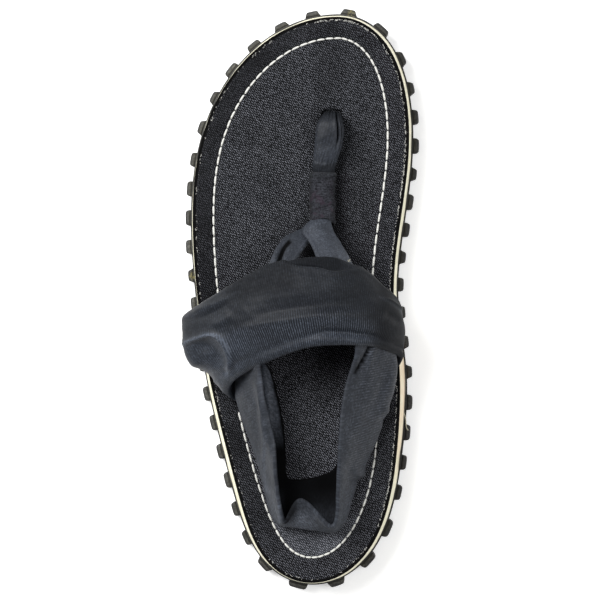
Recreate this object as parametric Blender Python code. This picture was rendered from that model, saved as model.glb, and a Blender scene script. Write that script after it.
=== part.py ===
"""Toe post sandal, left foot: a lugged flip-flop sole with a gathered jersey upper.

Frame: +Z up, +Y from heel to toe, +X from the outer (little toe) side to the
inner (big toe) side. The origin lies on the ground under the middle of the
whole sandal. Tables and named sizes are in millimetres; meshes are in metres.

While it is being drawn, "along" is measured from the back edge of the footbed,
"across" from a line that runs up the middle of the foot, and "lift" is the
height above the face of the footbed.
"""
import math

import bpy
import bmesh
import numpy as np
from mathutils import Vector

for old in list(bpy.data.objects):
    bpy.data.objects.remove(old, do_unlink=True)

MM = 0.001

# ---------------------------------------------------------------- named sizes
SOLE_LENGTH = 265.0            # footbed, heel edge to toe edge
HEEL_TIP_ACROSS = 5.5          # where the outline turns at the heel
TOE_TIP_ACROSS = 17.5          # and at the toe: the last curves inwards
STATIONS = 40                  # stations along each side of the outline

FIT_GAP = 0.3                  # between touching pieces

TREAD_DEPTH = 3.2              # bottom lugs, below the rubber sheet
RUBBER_SHEET = 3.0
RUBBER_EDGE = 0.8              # the sheet shows this far outside the foam
LUG_STAND_OUT = 2.7            # rim lugs, beyond the edge of the sheet
LUG_TOP = 7.3                  # rim lugs reach this high
HEEL_FOAM = 13.5
FOREFOOT_FOAM = 10.5
BOARD_THICKNESS = 3.0

TOE_SPRING = 6.0
TOE_SPRING_START = 188.0
HEEL_BEVEL = 1.5
HEEL_BEVEL_START = 16.0

STRAP_WALL = 2.0               # two plies of jersey

# Half breadths of the footbed. A half breadth is the fullness times the sine
# that closes the outline in a round end, so a section keeps its fullness in a
# smooth run right up to the tips.
# along, outer fullness, inner fullness
FOOTBED_SECTIONS = (
    (0.0, 59.0, 60.0),         # heel tip
    (30.0, 51.0, 51.0),        # heel
    (65.0, 50.5, 43.0),
    (100.0, 55.0, 37.5),       # waist, hollow on the inner side
    (135.0, 60.0, 32.0),
    (170.0, 66.5, 35.0),       # ball
    (205.0, 74.0, 43.0),
    (240.0, 80.0, 51.5),       # big toe
    (265.0, 83.0, 58.5),       # toe tip
)

# How far the foot of the foam wall stands outside the footbed.
# along, outer, inner
WALL_FLARE = (
    (0.0, 2.4, 2.2),
    (30.0, 3.2, 2.0),
    (60.0, 3.2, 2.2),
    (90.0, 2.8, 2.8),
    (125.0, 1.9, 1.8),
    (165.0, 1.8, 1.6),
    (205.0, 1.6, 1.5),
    (240.0, 2.0, 1.8),
    (265.0, 2.4, 2.4),
)

# Rim lugs, by distance round the footbed from the toe tip, outer side first.
# zone, first lug, pitch, how many, lug length
RIM_LUG_ZONES = (
    ("toe_outer", 11.3, 14.9, 6, 7.4),
    ("ball_outer", 101.0, 13.7, 6, 6.8),
    ("waist_outer", 184.0, 14.1, 8, 7.0),
    ("heel", 296.5, 16.5, 5, 8.8),
    ("waist_inner", 379.6, 14.2, 7, 7.0),
    ("ball_inner", 478.4, 13.3, 8, 6.8),
    ("toe_inner", 585.5, 15.15, 3, 7.6),
)

# Tread blocks inside the rim lugs.
TREAD_PITCH = 14.0
TREAD_BLOCK = 8.6
TREAD_GROOVE = 4.4
TREAD_FIRST, TREAD_LAST = 19.0, 246.0

# Slots in the footbed. name, across, along, width, length, turn in degrees
SLOTS = (
    ("outer_slot", -28.5, 95.0, 5.6, 25.0, -3.0),
    ("inner_slot", 38.0, 103.0, 5.6, 25.0, -2.0),
    ("toe_slot", 15.0, 219.4, 10.0, 5.8, 0.0),
)

# Instep band, a section from its front edge to its rear edge at each place on
# the way over the foot, from the outer slot to the inner slot. swell lifts the
# middle of the section off the line between the edges.
# front across, along, lift / rear across, along, lift / swell
BAND_SECTIONS = (
    (-30.2, 106.5, -2.6, -29.2, 85.5, -2.6, 0.0),               # in the outer slot
    (-31.2, 107.5, 1.6, -30.2, 86.0, 1.6, 0.5),
    (-42.5, 115.6, 5.5, -32.2, 88.0, 4.5, 6.0),                 # slack pouch swings out
    (-52.8, 123.2, 11.5, -33.0, 91.0, 9.5, 8.0),
    (-49.5, 126.8, 19.0, -31.4, 94.6, 15.0, 6.5),               # brow of the pouch
    (-36.5, 134.8, 28.5, -24.0, 100.0, 23.0, 4.5),
    (-18.5, 144.5, 35.5, -9.5, 106.8, 31.5, 4.0),
    (0.5, 151.0, 38.0, 7.0, 112.0, 36.0, 4.0),                  # crown
    (19.0, 151.0, 35.0, 22.5, 113.0, 34.5, 4.0),
    (33.0, 144.5, 27.5, 35.5, 112.0, 28.5, 4.0),
    (42.8, 135.5, 16.5, 43.5, 109.0, 18.0, 3.5),
    (45.3, 129.0, 8.0, 46.8, 105.0, 8.5, 2.2),                  # widest on the inner side
    (38.6, 115.5, 1.6, 39.4, 92.6, 1.6, 0.3),
    (37.6, 114.3, -2.6, 38.4, 92.0, -2.6, 0.0),                 # in the inner slot
)

# The loop strap: two arms leave the wrap, pass under the band, turn into the
# sides of the sling and meet round the heel. A section runs from the free lower
# edge round the bend to the top rim. On the arms the strap lies flat, and the
# three points are its outer edge, middle and inner edge.
# edge across, along, lift / bend across, along, lift / rim across, along, lift
LOOP_SECTIONS = (
    (7.0, 184.0, 4.7, 10.6, 184.0, 4.9, 14.2, 184.0, 4.7),      # in the wrap
    (7.1, 177.0, 4.8, 10.7, 177.0, 5.1, 14.3, 177.0, 4.9),
    (7.3, 170.5, 5.4, 10.9, 170.5, 6.2, 14.4, 170.5, 5.8),
    (0.8, 165.2, 7.4, 6.0, 166.4, 8.4, 11.0, 165.6, 7.8),       # outer arm
    (-6.5, 160.6, 12.0, -1.2, 161.0, 14.5, 4.2, 159.4, 13.8),
    (-11.6, 151.5, 21.0, -5.8, 151.6, 25.0, -1.0, 150.8, 25.0),
    (-19.0, 136.0, 20.0, -13.5, 138.0, 29.5, -5.0, 139.0, 33.5),   # under the band
    (-25.5, 117.0, 7.0, -27.5, 116.0, 20.0, -15.5, 117.0, 33.0),
    (-16.5, 103.0, 3.2, -32.5, 101.0, 4.0, -17.5, 103.0, 28.0), # outer side of the sling
    (-12.0, 91.0, 2.4, -34.0, 87.0, 2.5, -16.0, 89.5, 26.0),
    (-8.6, 74.0, 2.2, -29.5, 73.0, 2.5, -13.6, 76.0, 24.5),
    (-7.5, 58.0, 2.2, -23.0, 57.5, 2.5, -10.6, 61.0, 23.0),
    (-6.8, 50.0, 2.2, -18.0, 42.0, 2.6, -9.6, 46.0, 20.0),
    (-3.5, 47.5, 2.2, -12.5, 27.0, 3.0, -6.0, 29.8, 14.5),      # back corner
    (4.5, 48.0, 2.2, 3.0, 20.5, 4.0, 1.6, 40.0, 21.5),          # hump at the heel
    (12.0, 50.0, 2.2, 19.0, 23.0, 3.0, 15.2, 27.4, 13.0),       # back corner
    (17.5, 54.0, 2.2, 27.5, 41.0, 2.8, 18.6, 44.0, 18.5),
    (22.0, 66.0, 2.2, 36.4, 58.5, 2.8, 19.5, 60.5, 23.5),       # inner side
    (28.0, 79.0, 2.2, 43.5, 75.5, 3.5, 20.5, 76.0, 25.0),
    (34.0, 90.0, 2.6, 48.0, 90.5, 6.5, 23.5, 94.5, 26.5),
    (38.0, 104.0, 5.0, 48.5, 106.5, 13.0, 27.5, 107.5, 30.0),
    (38.0, 120.0, 13.0, 39.5, 121.0, 22.0, 25.0, 120.0, 34.0),   # under the band
    (29.6, 138.0, 22.0, 25.0, 138.0, 29.5, 16.0, 138.0, 37.5),
    (23.8, 150.6, 25.0, 16.8, 151.5, 30.5, 9.9, 151.5, 28.5),   # inner arm
    (18.0, 160.4, 15.5, 11.6, 161.5, 19.5, 5.2, 160.5, 17.0),
    (14.4, 167.3, 11.0, 8.8, 168.6, 13.2, 2.9, 165.9, 11.4),
    (14.6, 171.0, 8.0, 11.0, 171.5, 8.8, 7.4, 171.0, 8.0),
    (14.3, 177.0, 6.5, 10.7, 177.0, 6.9, 7.1, 177.0, 6.6),
    (14.2, 184.0, 6.2, 10.6, 184.0, 6.5, 7.0, 184.0, 6.2),      # in the wrap
)

# Toe post, a flattened tube: centre, half width and half height.
# across, along, lift, half width, half height
POST_SECTIONS = (
    (15.0, 218.8, -2.6, 3.0, 2.0),                              # in the toe slot
    (15.0, 219.0, 1.0, 3.3, 2.4),
    (15.0, 218.4, 4.2, 3.9, 2.9),
    (14.9, 216.2, 6.5, 5.2, 3.4),
    (14.6, 212.6, 7.2, 6.4, 3.5),                               # folds back over its root
    (14.0, 207.5, 6.9, 6.4, 3.2),
    (13.0, 202.5, 6.5, 6.0, 2.9),
    (12.1, 198.2, 6.2, 5.6, 2.6),
    (11.5, 195.1, 5.9, 5.1, 2.1),
    (11.1, 191.8, 5.7, 4.0, 1.75),
    (10.8, 187.0, 5.5, 3.8, 1.7),                               # in the wrap
)

# Knit wrap, a sleeve round the post and the arms.
# across, along, lift, half width, half height
WRAP_SECTIONS = (
    (11.0, 192.5, 5.75, 5.75, 4.0),
    (10.9, 190.6, 5.65, 6.05, 4.4),
    (10.5, 185.5, 5.6, 5.9, 4.35),
    (10.6, 180.0, 5.7, 5.9, 4.3),
    (10.9, 174.0, 6.2, 6.1, 4.6),
    (11.1, 171.0, 6.9, 6.5, 5.3),
)
WRAP_WALL = 1.2

# Webbing tab in the outer slot, behind the end of the band.
ANCHOR_WIDTH, ANCHOR_THICKNESS, ANCHOR_HEIGHT = 21.0, 1.3, 0.5


# ------------------------------------------------------------------- helpers
def natural_spline(knots, values):
    """Smooth curve through the rows of a table, as a function of the first column."""
    x = np.asarray(knots, dtype=float)
    y = np.asarray(values, dtype=float)
    n = len(x)
    h = np.diff(x)
    a = np.zeros((n, n))
    b = np.zeros(n)
    a[0, 0] = a[-1, -1] = 1.0
    for i in range(1, n - 1):
        a[i, i - 1], a[i, i], a[i, i + 1] = h[i - 1], 2 * (h[i - 1] + h[i]), h[i]
        b[i] = 6 * ((y[i + 1] - y[i]) / h[i] - (y[i] - y[i - 1]) / h[i - 1])
    m = np.linalg.solve(a, b)

    def at(t):
        i = min(max(int(np.searchsorted(x, t) - 1), 0), n - 2)
        u, v = x[i + 1] - t, t - x[i]
        return (m[i] * u ** 3 / (6 * h[i]) + m[i + 1] * v ** 3 / (6 * h[i])
                + (y[i] / h[i] - m[i] * h[i] / 6) * u
                + (y[i + 1] / h[i] - m[i + 1] * h[i] / 6) * v)
    return at


def column(table, key, value):
    return natural_spline([row[key] for row in table], [row[value] for row in table])


def by_spacing(table, first, last):
    """One smooth curve for each column of a section table. The run from row to
    row follows the distance that the sections' own points travel."""
    rows = np.array([row[first:last] for row in table], dtype=float)
    triples = rows.reshape(len(rows), -1, 3) if (last - first) % 3 == 0 else rows[:, None, :3]
    step = np.sqrt((np.diff(triples, axis=0) ** 2).sum(axis=2)).mean(axis=1)
    run = np.concatenate([[0.0], np.cumsum(np.sqrt(np.maximum(step, 1.0)))])
    run /= run[-1]
    return [natural_spline(run, rows[:, c]) for c in range(rows.shape[1])]


outer_fullness = column(FOOTBED_SECTIONS, 0, 1)
inner_fullness = column(FOOTBED_SECTIONS, 0, 2)
outer_flare = column(WALL_FLARE, 0, 1)
inner_flare = column(WALL_FLARE, 0, 2)


def edge_point(turn, side):
    """A point of the footbed's outline. turn runs from 0 at the heel to pi at the toe."""
    along = SOLE_LENGTH * (1 - math.cos(turn)) / 2
    full = (outer_fullness if side < 0 else inner_fullness)(along)
    middle = HEEL_TIP_ACROSS + (TOE_TIP_ACROSS - HEEL_TIP_ACROSS) * along / SOLE_LENGTH
    return np.array([middle + side * math.sin(turn) * full, along])


def edge_normal(turn, side):
    lo, hi = max(turn - 1e-3, 0.0), min(turn + 1e-3, math.pi)
    d = edge_point(hi, side) - edge_point(lo, side)
    d /= np.hypot(*d)
    return np.array([-d[1], d[0]]) if side < 0 else np.array([d[1], -d[0]])


def outline(flare_share=0.0, extra=0.0):
    """The footbed's outline moved outwards by a share of the flare and a bit more:
    the outer side from heel to toe and the inner side from heel to toe."""
    sides = []
    for side, flare in ((-1, outer_flare), (1, inner_flare)):
        pts = []
        for i in range(STATIONS + 1):
            turn = math.pi * i / STATIONS
            p = edge_point(turn, side)
            pts.append(p + edge_normal(turn, side) * (flare_share * flare(p[1]) + extra))
        sides.append(pts)
    for end in (0, -1):        # both sides share the two tips
        tip = (sides[0][end] + sides[1][end]) / 2
        sides[0][end] = sides[1][end] = tip
    return sides


def ground(along):
    """How far the underside is off the floor."""
    z = 0.0
    if along > TOE_SPRING_START:
        z = TOE_SPRING * ((along - TOE_SPRING_START) / (SOLE_LENGTH - TOE_SPRING_START)) ** 2
    elif along < HEEL_BEVEL_START:
        z = HEEL_BEVEL * ((HEEL_BEVEL_START - along) / HEEL_BEVEL_START) ** 2
    return z


def foam(along):
    t = min(max((along - 60.0) / 120.0, 0.0), 1.0)
    t = t * t * (3 - 2 * t)
    return HEEL_FOAM + (FOREFOOT_FOAM - HEEL_FOAM) * t


SHEET_TOP = TREAD_DEPTH + RUBBER_SHEET


def foam_foot(along):
    return ground(along) + SHEET_TOP + FIT_GAP


def foam_top(along):
    return foam_foot(along) + foam(along)


def board_foot(along):
    return foam_top(along) + FIT_GAP


def board_top(along):
    return board_foot(along) + BOARD_THICKNESS


def height(along, lift):
    """Height above the floor of a point given by its lift off the footbed."""
    return board_top(min(max(along, 0.0), SOLE_LENGTH)) + lift


# -------------------------------------------------------------- mesh builders
PIECES = []
root = bpy.data.objects.new("sandal", None)
bpy.context.scene.collection.objects.link(root)


def material(name, colour, roughness, metallic=0.0):
    mat = bpy.data.materials.new(name)
    mat.use_nodes = True
    shader = mat.node_tree.nodes["Principled BSDF"]
    shader.inputs["Base Color"].default_value = (*colour, 1.0)
    shader.inputs["Roughness"].default_value = roughness
    shader.inputs["Metallic"].default_value = metallic
    mat.diffuse_color = (*colour, 1.0)
    return mat


def add_mesh(name, verts, faces, mat=None, cutter=False, smooth=None):
    """Make an object from points in millimetres."""
    bm = bmesh.new()
    vs = [bm.verts.new((v[0] * MM, v[1] * MM, v[2] * MM)) for v in verts]
    for f in faces:
        f = [vs[i] for k, i in enumerate(f) if i != f[k - 1]]
        if len(f) >= 3:
            bm.faces.new(f)
    bmesh.ops.recalc_face_normals(bm, faces=bm.faces)
    mesh = bpy.data.meshes.new(name)
    bm.to_mesh(mesh)
    bm.free()
    obj = bpy.data.objects.new(name, mesh)
    bpy.context.scene.collection.objects.link(obj)
    obj.parent = root
    if cutter:
        obj.hide_render = True
        obj.display_type = "WIRE"
    else:
        mesh.materials.append(mat)
        PIECES.append(obj)
    if smooth is not None:
        mesh.shade_smooth()
        mesh.set_sharp_from_angle(angle=math.radians(smooth))
    return obj


def boolean(obj, other, operation):
    mod = obj.modifiers.new(operation.lower() + "_" + other.name, "BOOLEAN")
    mod.operation = operation
    mod.solver = "EXACT"
    mod.object = other
    return mod


def sole_layer(name, rings, mat=None, cutter=False, smooth=None):
    """A slab of the sole. Each ring is an outline and the height it lies at."""
    verts, faces = [], []
    n = STATIONS
    size = 2 * n
    for sides, z_of in rings:
        loop = sides[0] + sides[1][-2:0:-1]
        verts += [(p[0], p[1], z_of(min(max(p[1], 0.0), SOLE_LENGTH))) for p in loop]
    for r in range(len(rings) - 1):
        for i in range(size):
            j = (i + 1) % size
            faces.append((r * size + i, r * size + j, (r + 1) * size + j, (r + 1) * size + i))
    for r in (0, len(rings) - 1):
        for i in range(n):     # straight across from side to side, heel to toe
            a, b = r * size + i, r * size + i + 1
            c, d = r * size + (size - i) % size, r * size + (size - i - 1) % size
            faces.append((a, b, d, c))
    # a tip row is a triangle, and both of its sides end in the same point
    clean = []
    for f in faces:
        g = []
        for i in f:
            if i not in g:
                g.append(i)
        clean.append(tuple(g))
    return add_mesh(name, verts, clean, mat, cutter, smooth)


def block(profile, ends, centre, out, half, foot_of):
    """A lug: a profile of (reach, height, end trim) swept along the edge of the sole,
    with its two ends closed by the convex patches of that profile."""
    run = np.array([-out[1], out[0]])
    verts = []
    for sign in (-1, 1):
        for reach, z, trim in profile:
            p = centre + out * reach + run * sign * (half - trim)
            verts.append((p[0], p[1], z + foot_of(p[1])))
    n = len(profile)
    faces = [tuple(f) for f in ends] + [tuple(n + i for i in reversed(f)) for f in ends]
    for i in range(n):
        j = (i + 1) % n
        faces.append((j, i, n + i, n + j))
    return verts, faces


def merged(parts):
    verts, faces = [], []
    for v, f in parts:
        base = len(verts)
        verts += v
        faces += [tuple(base + i for i in face) for face in f]
    return verts, faces


def sheet_solid(name, rows, wall, mat=None, cutter=False, smooth=40.0):
    """Give an open grid of points a wall, half to each side."""
    grid = np.array(rows)
    du = np.gradient(grid, axis=0)
    dv = np.gradient(grid, axis=1)
    normal = np.cross(du, dv)
    normal /= np.linalg.norm(normal, axis=2, keepdims=True)
    nu, nv = grid.shape[:2]
    one = (grid + normal * wall / 2).reshape(-1, 3)
    two = (grid - normal * wall / 2).reshape(-1, 3)
    verts = [tuple(p) for p in one] + [tuple(p) for p in two]
    faces = []
    half = nu * nv

    def at(i, j):
        return i * nv + j

    for i in range(nu - 1):
        for j in range(nv - 1):
            q = (at(i, j), at(i + 1, j), at(i + 1, j + 1), at(i, j + 1))
            faces.append(q)
            faces.append(tuple(half + k for k in reversed(q)))
    rim = ([at(i, 0) for i in range(nu)] + [at(nu - 1, j) for j in range(1, nv)]
           + [at(i, nv - 1) for i in range(nu - 2, -1, -1)]
           + [at(0, j) for j in range(nv - 2, 0, -1)])
    for k, a in enumerate(rim):
        b = rim[(k + 1) % len(rim)]
        faces.append((b, a, half + a, half + b))
    return add_mesh(name, verts, faces, mat, cutter, smooth)


# --------------------------------------------------------------------- the sole
RUBBER = material("outsole_rubber", (0.030, 0.029, 0.027), 0.75)
FOAM = material("midsole_foam", (0.88, 0.84, 0.62), 0.8)
CANVAS = material("footbed_canvas", (0.022, 0.024, 0.028), 0.9)
JERSEY = material("upper_jersey", (0.030, 0.033, 0.039), 0.85)
KNIT = material("wrap_knit", (0.030, 0.028, 0.032), 0.9)
WEBBING = material("anchor_webbing", (0.018, 0.018, 0.020), 0.5)

outsole = sole_layer("outsole", [
    (outline(1.0, RUBBER_EDGE - 0.4), lambda s: ground(s) + TREAD_DEPTH),
    (outline(1.0, RUBBER_EDGE), lambda s: ground(s) + TREAD_DEPTH + 0.8),
    (outline(1.0, RUBBER_EDGE), lambda s: ground(s) + SHEET_TOP),
], RUBBER, smooth=35.0)


def rim_walk(steps=1440):
    """The footbed's outline from the toe tip down the outer side to the heel and
    back up the inner side, with the distance walked."""
    turns = [(math.pi * (1 - 2 * k / steps), -1) for k in range(steps // 2)]
    turns += [(math.pi * (2 * k / steps - 1), 1) for k in range(steps // 2, steps + 1)]
    pts = np.array([edge_point(t, s) for t, s in turns])
    walked = np.concatenate([[0.0], np.cumsum(np.hypot(*np.diff(pts, axis=0).T))])
    return turns, walked


RIM_PROFILE = (
    # reach from the sheet's edge, height, trim at each end
    (-8.6, 0.0, 0.7),
    (LUG_STAND_OUT - 0.9, 0.0, 0.7),
    (LUG_STAND_OUT - 0.2, 0.8, 0.5),
    (LUG_STAND_OUT, 3.0, 0.35),
    (LUG_STAND_OUT - 0.2, LUG_TOP - 1.1, 0.5),
    (LUG_STAND_OUT - 0.9, LUG_TOP, 0.9),
    (0.5, LUG_TOP, 0.6),
    (-1.2, TREAD_DEPTH + 1.4, 0.1),
    (-8.6, TREAD_DEPTH + 1.4, 0.1),
)
RIM_ENDS = ((0, 1, 7, 8), (1, 2, 3, 4, 5, 6, 7))
TREAD_PROFILE = (
    # half block along the sole, height, trim at each side
    (-TREAD_BLOCK / 2 + 0.6, 0.0, 0.6),
    (TREAD_BLOCK / 2 - 0.6, 0.0, 0.6),
    (TREAD_BLOCK / 2, TREAD_DEPTH + 1.4, 0.0),
    (-TREAD_BLOCK / 2, TREAD_DEPTH + 1.4, 0.0),
)
TREAD_ENDS = ((0, 1, 2, 3),)

turns, walked = rim_walk()
lugs = []
for zone, first, pitch, count, length in RIM_LUG_ZONES:
    for k in range(count):
        turn, side = turns[int(np.searchsorted(walked, first + pitch * k))]
        p, out = edge_point(turn, side), edge_normal(turn, side)
        flare = (outer_flare if side < 0 else inner_flare)(p[1])
        lugs.append(block(RIM_PROFILE, RIM_ENDS, p + out * (flare + RUBBER_EDGE), out, length / 2,
                          lambda s: ground(min(max(s, 0.0), SOLE_LENGTH))))


def half_breadth(along, side, inset):
    turn = math.acos(1 - 2 * along / SOLE_LENGTH)
    return edge_point(turn, side)[0] - side * inset


rows = int((TREAD_LAST - TREAD_FIRST) // TREAD_PITCH) + 1
for r in range(rows):
    along = TREAD_FIRST + r * TREAD_PITCH
    reach = 10.5 + 6.0 * max(0.0, 1 - along / 40.0) + 6.0 * max(0.0, (along - 215.0) / 40.0)
    lo = max(half_breadth(min(max(a, 1.0), 264.0), -1, reach) for a in (along - 4.5, along + 4.5))
    hi = min(half_breadth(min(max(a, 1.0), 264.0), 1, reach) for a in (along - 4.5, along + 4.5))
    count = max(1, round((hi - lo + TREAD_GROOVE) / 20.0))
    wide = (hi - lo + TREAD_GROOVE) / count - TREAD_GROOVE
    for c in range(count):
        middle = lo + wide / 2 + c * (wide + TREAD_GROOVE)
        lugs.append(block(TREAD_PROFILE, TREAD_ENDS, np.array([middle, along]), np.array([0.0, 1.0]),
                          wide / 2, ground))

tread = add_mesh("tread_blocks", *merged(lugs), cutter=True)
boolean(outsole, tread, "UNION")

midsole = sole_layer("midsole", [
    (outline(1.0, 0.0), foam_foot),
    (outline(0.86, 0.1), lambda s: foam_foot(s) + 0.22 * foam(s)),
    (outline(0.45, 0.3), lambda s: foam_foot(s) + 0.62 * foam(s)),
    (outline(0.0, 0.6), lambda s: foam_top(s) - 0.6),
    (outline(0.0, 0.3), foam_top),
], FOAM, smooth=35.0)

footbed = sole_layer("footbed", [
    (outline(0.0, 0.1), board_foot),
    (outline(0.0, 0.2), lambda s: board_foot(s) + 0.6 * BOARD_THICKNESS),
    (outline(0.0, 0.0), lambda s: board_top(s) - 0.5),
    (outline(0.0, -0.6), board_top),
], CANVAS, smooth=35.0)

for name, across, along, wide, length, turn in SLOTS:
    c, s = math.cos(math.radians(turn)), math.sin(math.radians(turn))
    corners = []
    for ux, uy in ((-1, -0.8), (-0.8, -1), (0.8, -1), (1, -0.8), (1, 0.8), (0.8, 1), (-0.8, 1), (-1, 0.8)):
        x, y = ux * wide / 2, uy * length / 2
        if length > 2 * wide:   # a long slot keeps short round corners
            y = math.copysign(length / 2 - (0.0 if abs(uy) == 1 else 1.2), uy)
        corners.append((across + x * c + y * s, along - x * s + y * c))
    verts = [(x, y, board_foot(along) - 3.0) for x, y in corners]
    verts += [(x, y, board_top(along) + 3.0) for x, y in corners]
    faces = [tuple(range(7, -1, -1)), tuple(range(8, 16))]
    faces += [(i, (i + 1) % 8, 8 + (i + 1) % 8, 8 + i) for i in range(8)]
    boolean(footbed, add_mesh(name, verts, faces, cutter=True), "DIFFERENCE")


# -------------------------------------------------------------------- the upper
def band_surface(u, v, curves):
    """A point of the instep band: u across the foot, v from front edge to rear edge."""
    fx, fy, fl, rx, ry, rl, swell = (c(u) for c in curves)
    front, rear = np.array([fx, fy, fl]), np.array([rx, ry, rl])
    crest = math.sin(math.pi * v) ** 0.8 if 0 < v < 1 else 0.0
    p = front + (rear - front) * v
    sweep = math.pi * min(max(u, 0.0), 1.0)
    lean = np.array([-math.cos(sweep), 0.0, math.sin(sweep)])   # off the foot
    return p + lean * swell * crest


def strap_points(p):
    return (p[0], p[1], height(p[1], p[2]))


band_curves = by_spacing([row[:6] for row in BAND_SECTIONS], 0, 6)
_run = np.concatenate([[0.0], np.cumsum([
    math.sqrt(max(1.0, (math.dist(a[:3], b[:3]) + math.dist(a[3:6], b[3:6])) / 2))
    for a, b in zip(BAND_SECTIONS, BAND_SECTIONS[1:])])])
_run /= _run[-1]
band_curves.append(natural_spline(_run, [row[6] for row in BAND_SECTIONS]))

BAND_U, BAND_V = 34, 8
band_rows = [[strap_points(band_surface(i / BAND_U, j / BAND_V, band_curves))
              for j in range(BAND_V + 1)] for i in range(BAND_U + 1)]


def loop_surface(u, v, curves):
    """A point of the loop strap: u round the loop, v from its edge over the bend to its rim."""
    c = [f(u) for f in curves]
    edge, bend, rim = np.array(c[0:3]), np.array(c[3:6]), np.array(c[6:9])
    return (1 - v) ** 3 * edge + 3 * v * (1 - v) * bend + v ** 3 * rim


loop_curves = by_spacing(LOOP_SECTIONS, 0, 9)
LOOP_U, LOOP_V = 84, 8
loop_rows = [[strap_points(loop_surface(i / LOOP_U, j / LOOP_V, loop_curves))
              for j in range(LOOP_V + 1)] for i in range(LOOP_U + 1)]

upper = sheet_solid("upper", band_rows, STRAP_WALL, JERSEY)
loop = sheet_solid("loop_strap", loop_rows, STRAP_WALL, cutter=True)
boolean(upper, loop, "UNION")


def tube_rings(table, count, grow=0.0, sides=16, square=2.6):
    """Rings of a flattened tube along a table of centres and half sizes."""
    curves = by_spacing(table, 0, 5)
    centre = [np.array([f(i / count) for f in curves]) for i in range(count + 1)]
    pts = np.array([strap_points(c[:3]) for c in centre])
    rings = []
    for i, c in enumerate(centre):
        tangent = pts[min(i + 1, count)] - pts[max(i - 1, 0)]
        tangent /= np.linalg.norm(tangent)
        wide = np.array([1.0, 0.0, 0.0])
        wide = wide - tangent * wide.dot(tangent)
        wide /= np.linalg.norm(wide)
        tall = np.cross(wide, tangent)
        ring = []
        for k in range(sides):
            a = 2 * math.pi * k / sides
            ca, sa = math.cos(a), math.sin(a)
            ring.append(pts[i] + wide * math.copysign(abs(ca) ** (2 / square), ca) * (c[3] + grow)
                        + tall * math.copysign(abs(sa) ** (2 / square), sa) * (c[4] + grow))
        rings.append(ring)
    return rings


def skin(rings, closed_ends=True):
    sides = len(rings[0])
    verts = [tuple(p) for ring in rings for p in ring]
    faces = []
    for r in range(len(rings) - 1):
        for k in range(sides):
            j = (k + 1) % sides
            faces.append((r * sides + k, r * sides + j, (r + 1) * sides + j, (r + 1) * sides + k))
    if closed_ends:
        faces.append(tuple(range(sides - 1, -1, -1)))
        faces.append(tuple((len(rings) - 1) * sides + k for k in range(sides)))
    return verts, faces


toe_post = add_mesh("toe_post", *skin(tube_rings(POST_SECTIONS, 18)), JERSEY, smooth=60.0)

outer_rings = tube_rings(WRAP_SECTIONS, 10)
inner_rings = tube_rings(WRAP_SECTIONS, 10, grow=-WRAP_WALL)
verts, faces = skin(outer_rings, closed_ends=False)
base = len(verts)
iv, iface = skin(inner_rings, closed_ends=False)
verts += iv
faces += [tuple(base + i for i in reversed(f)) for f in iface]
for end in (0, len(outer_rings) - 1):
    for k in range(16):
        j = (k + 1) % 16
        faces.append((end * 16 + k, end * 16 + j, base + end * 16 + j, base + end * 16 + k))
wrap = add_mesh("toe_post_wrap", verts, faces, KNIT, smooth=60.0)

_, ax, ay, _, _, aturn = SLOTS[0]
tab = []
for i in range(7):
    t = i / 6
    lift = -2.6 + (ANCHOR_HEIGHT + 2.6) * t
    lean = 0.9 * max(0.0, t - 0.4) ** 2
    c, s = math.cos(math.radians(aturn)), math.sin(math.radians(aturn))
    strip = [ANCHOR_WIDTH * (j / 4 - 0.5) for j in range(5)]
    tab.append([(ax + (1.5 + lean) * c + y * s, ay - (1.5 + lean) * s + y * c,
                 height(ay, lift - 0.5 * abs(y) / ANCHOR_WIDTH * t)) for y in strip])
anchor = sheet_solid("side_anchor", tab, ANCHOR_THICKNESS, WEBBING)

# ---------------------------------------------------- stand it on the origin
bpy.context.view_layer.update()
graph = bpy.context.evaluated_depsgraph_get()
low, high = np.full(3, 1e9), np.full(3, -1e9)
for piece in PIECES:
    mesh = piece.evaluated_get(graph).to_mesh()
    for vert in mesh.vertices:
        p = np.array(vert.co)
        low, high = np.minimum(low, p), np.maximum(high, p)
    piece.evaluated_get(graph).to_mesh_clear()
root.location = Vector((-(low[0] + high[0]) / 2, -(low[1] + high[1]) / 2, -low[2]))
bpy.context.view_layer.update()
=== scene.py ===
"""The looks of a toe post sandal (left foot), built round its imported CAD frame.

Tables are in millimetres in the sandal's own drawing frame: "across" runs from
the outer (little toe) side to the inner side, "along" from the heel edge of the
footbed to the toe, and "lift" is the height above the face of the footbed.
"""
import math

import bpy
import numpy as np
from mathutils import Matrix, Vector, geometry


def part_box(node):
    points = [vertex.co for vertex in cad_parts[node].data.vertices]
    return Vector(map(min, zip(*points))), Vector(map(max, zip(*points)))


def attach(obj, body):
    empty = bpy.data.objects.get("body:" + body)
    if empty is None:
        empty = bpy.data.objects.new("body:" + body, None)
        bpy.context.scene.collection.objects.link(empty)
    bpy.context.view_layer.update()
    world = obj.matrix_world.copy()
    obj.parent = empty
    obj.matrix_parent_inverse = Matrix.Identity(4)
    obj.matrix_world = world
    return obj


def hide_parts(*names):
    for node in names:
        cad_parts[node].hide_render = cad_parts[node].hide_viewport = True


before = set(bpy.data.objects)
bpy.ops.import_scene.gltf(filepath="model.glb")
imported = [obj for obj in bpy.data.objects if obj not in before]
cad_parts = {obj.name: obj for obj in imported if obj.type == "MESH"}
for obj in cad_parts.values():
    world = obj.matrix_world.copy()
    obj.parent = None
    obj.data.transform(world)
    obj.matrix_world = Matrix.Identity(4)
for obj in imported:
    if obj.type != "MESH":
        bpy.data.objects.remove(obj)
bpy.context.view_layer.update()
rng = np.random.default_rng(11)

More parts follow.
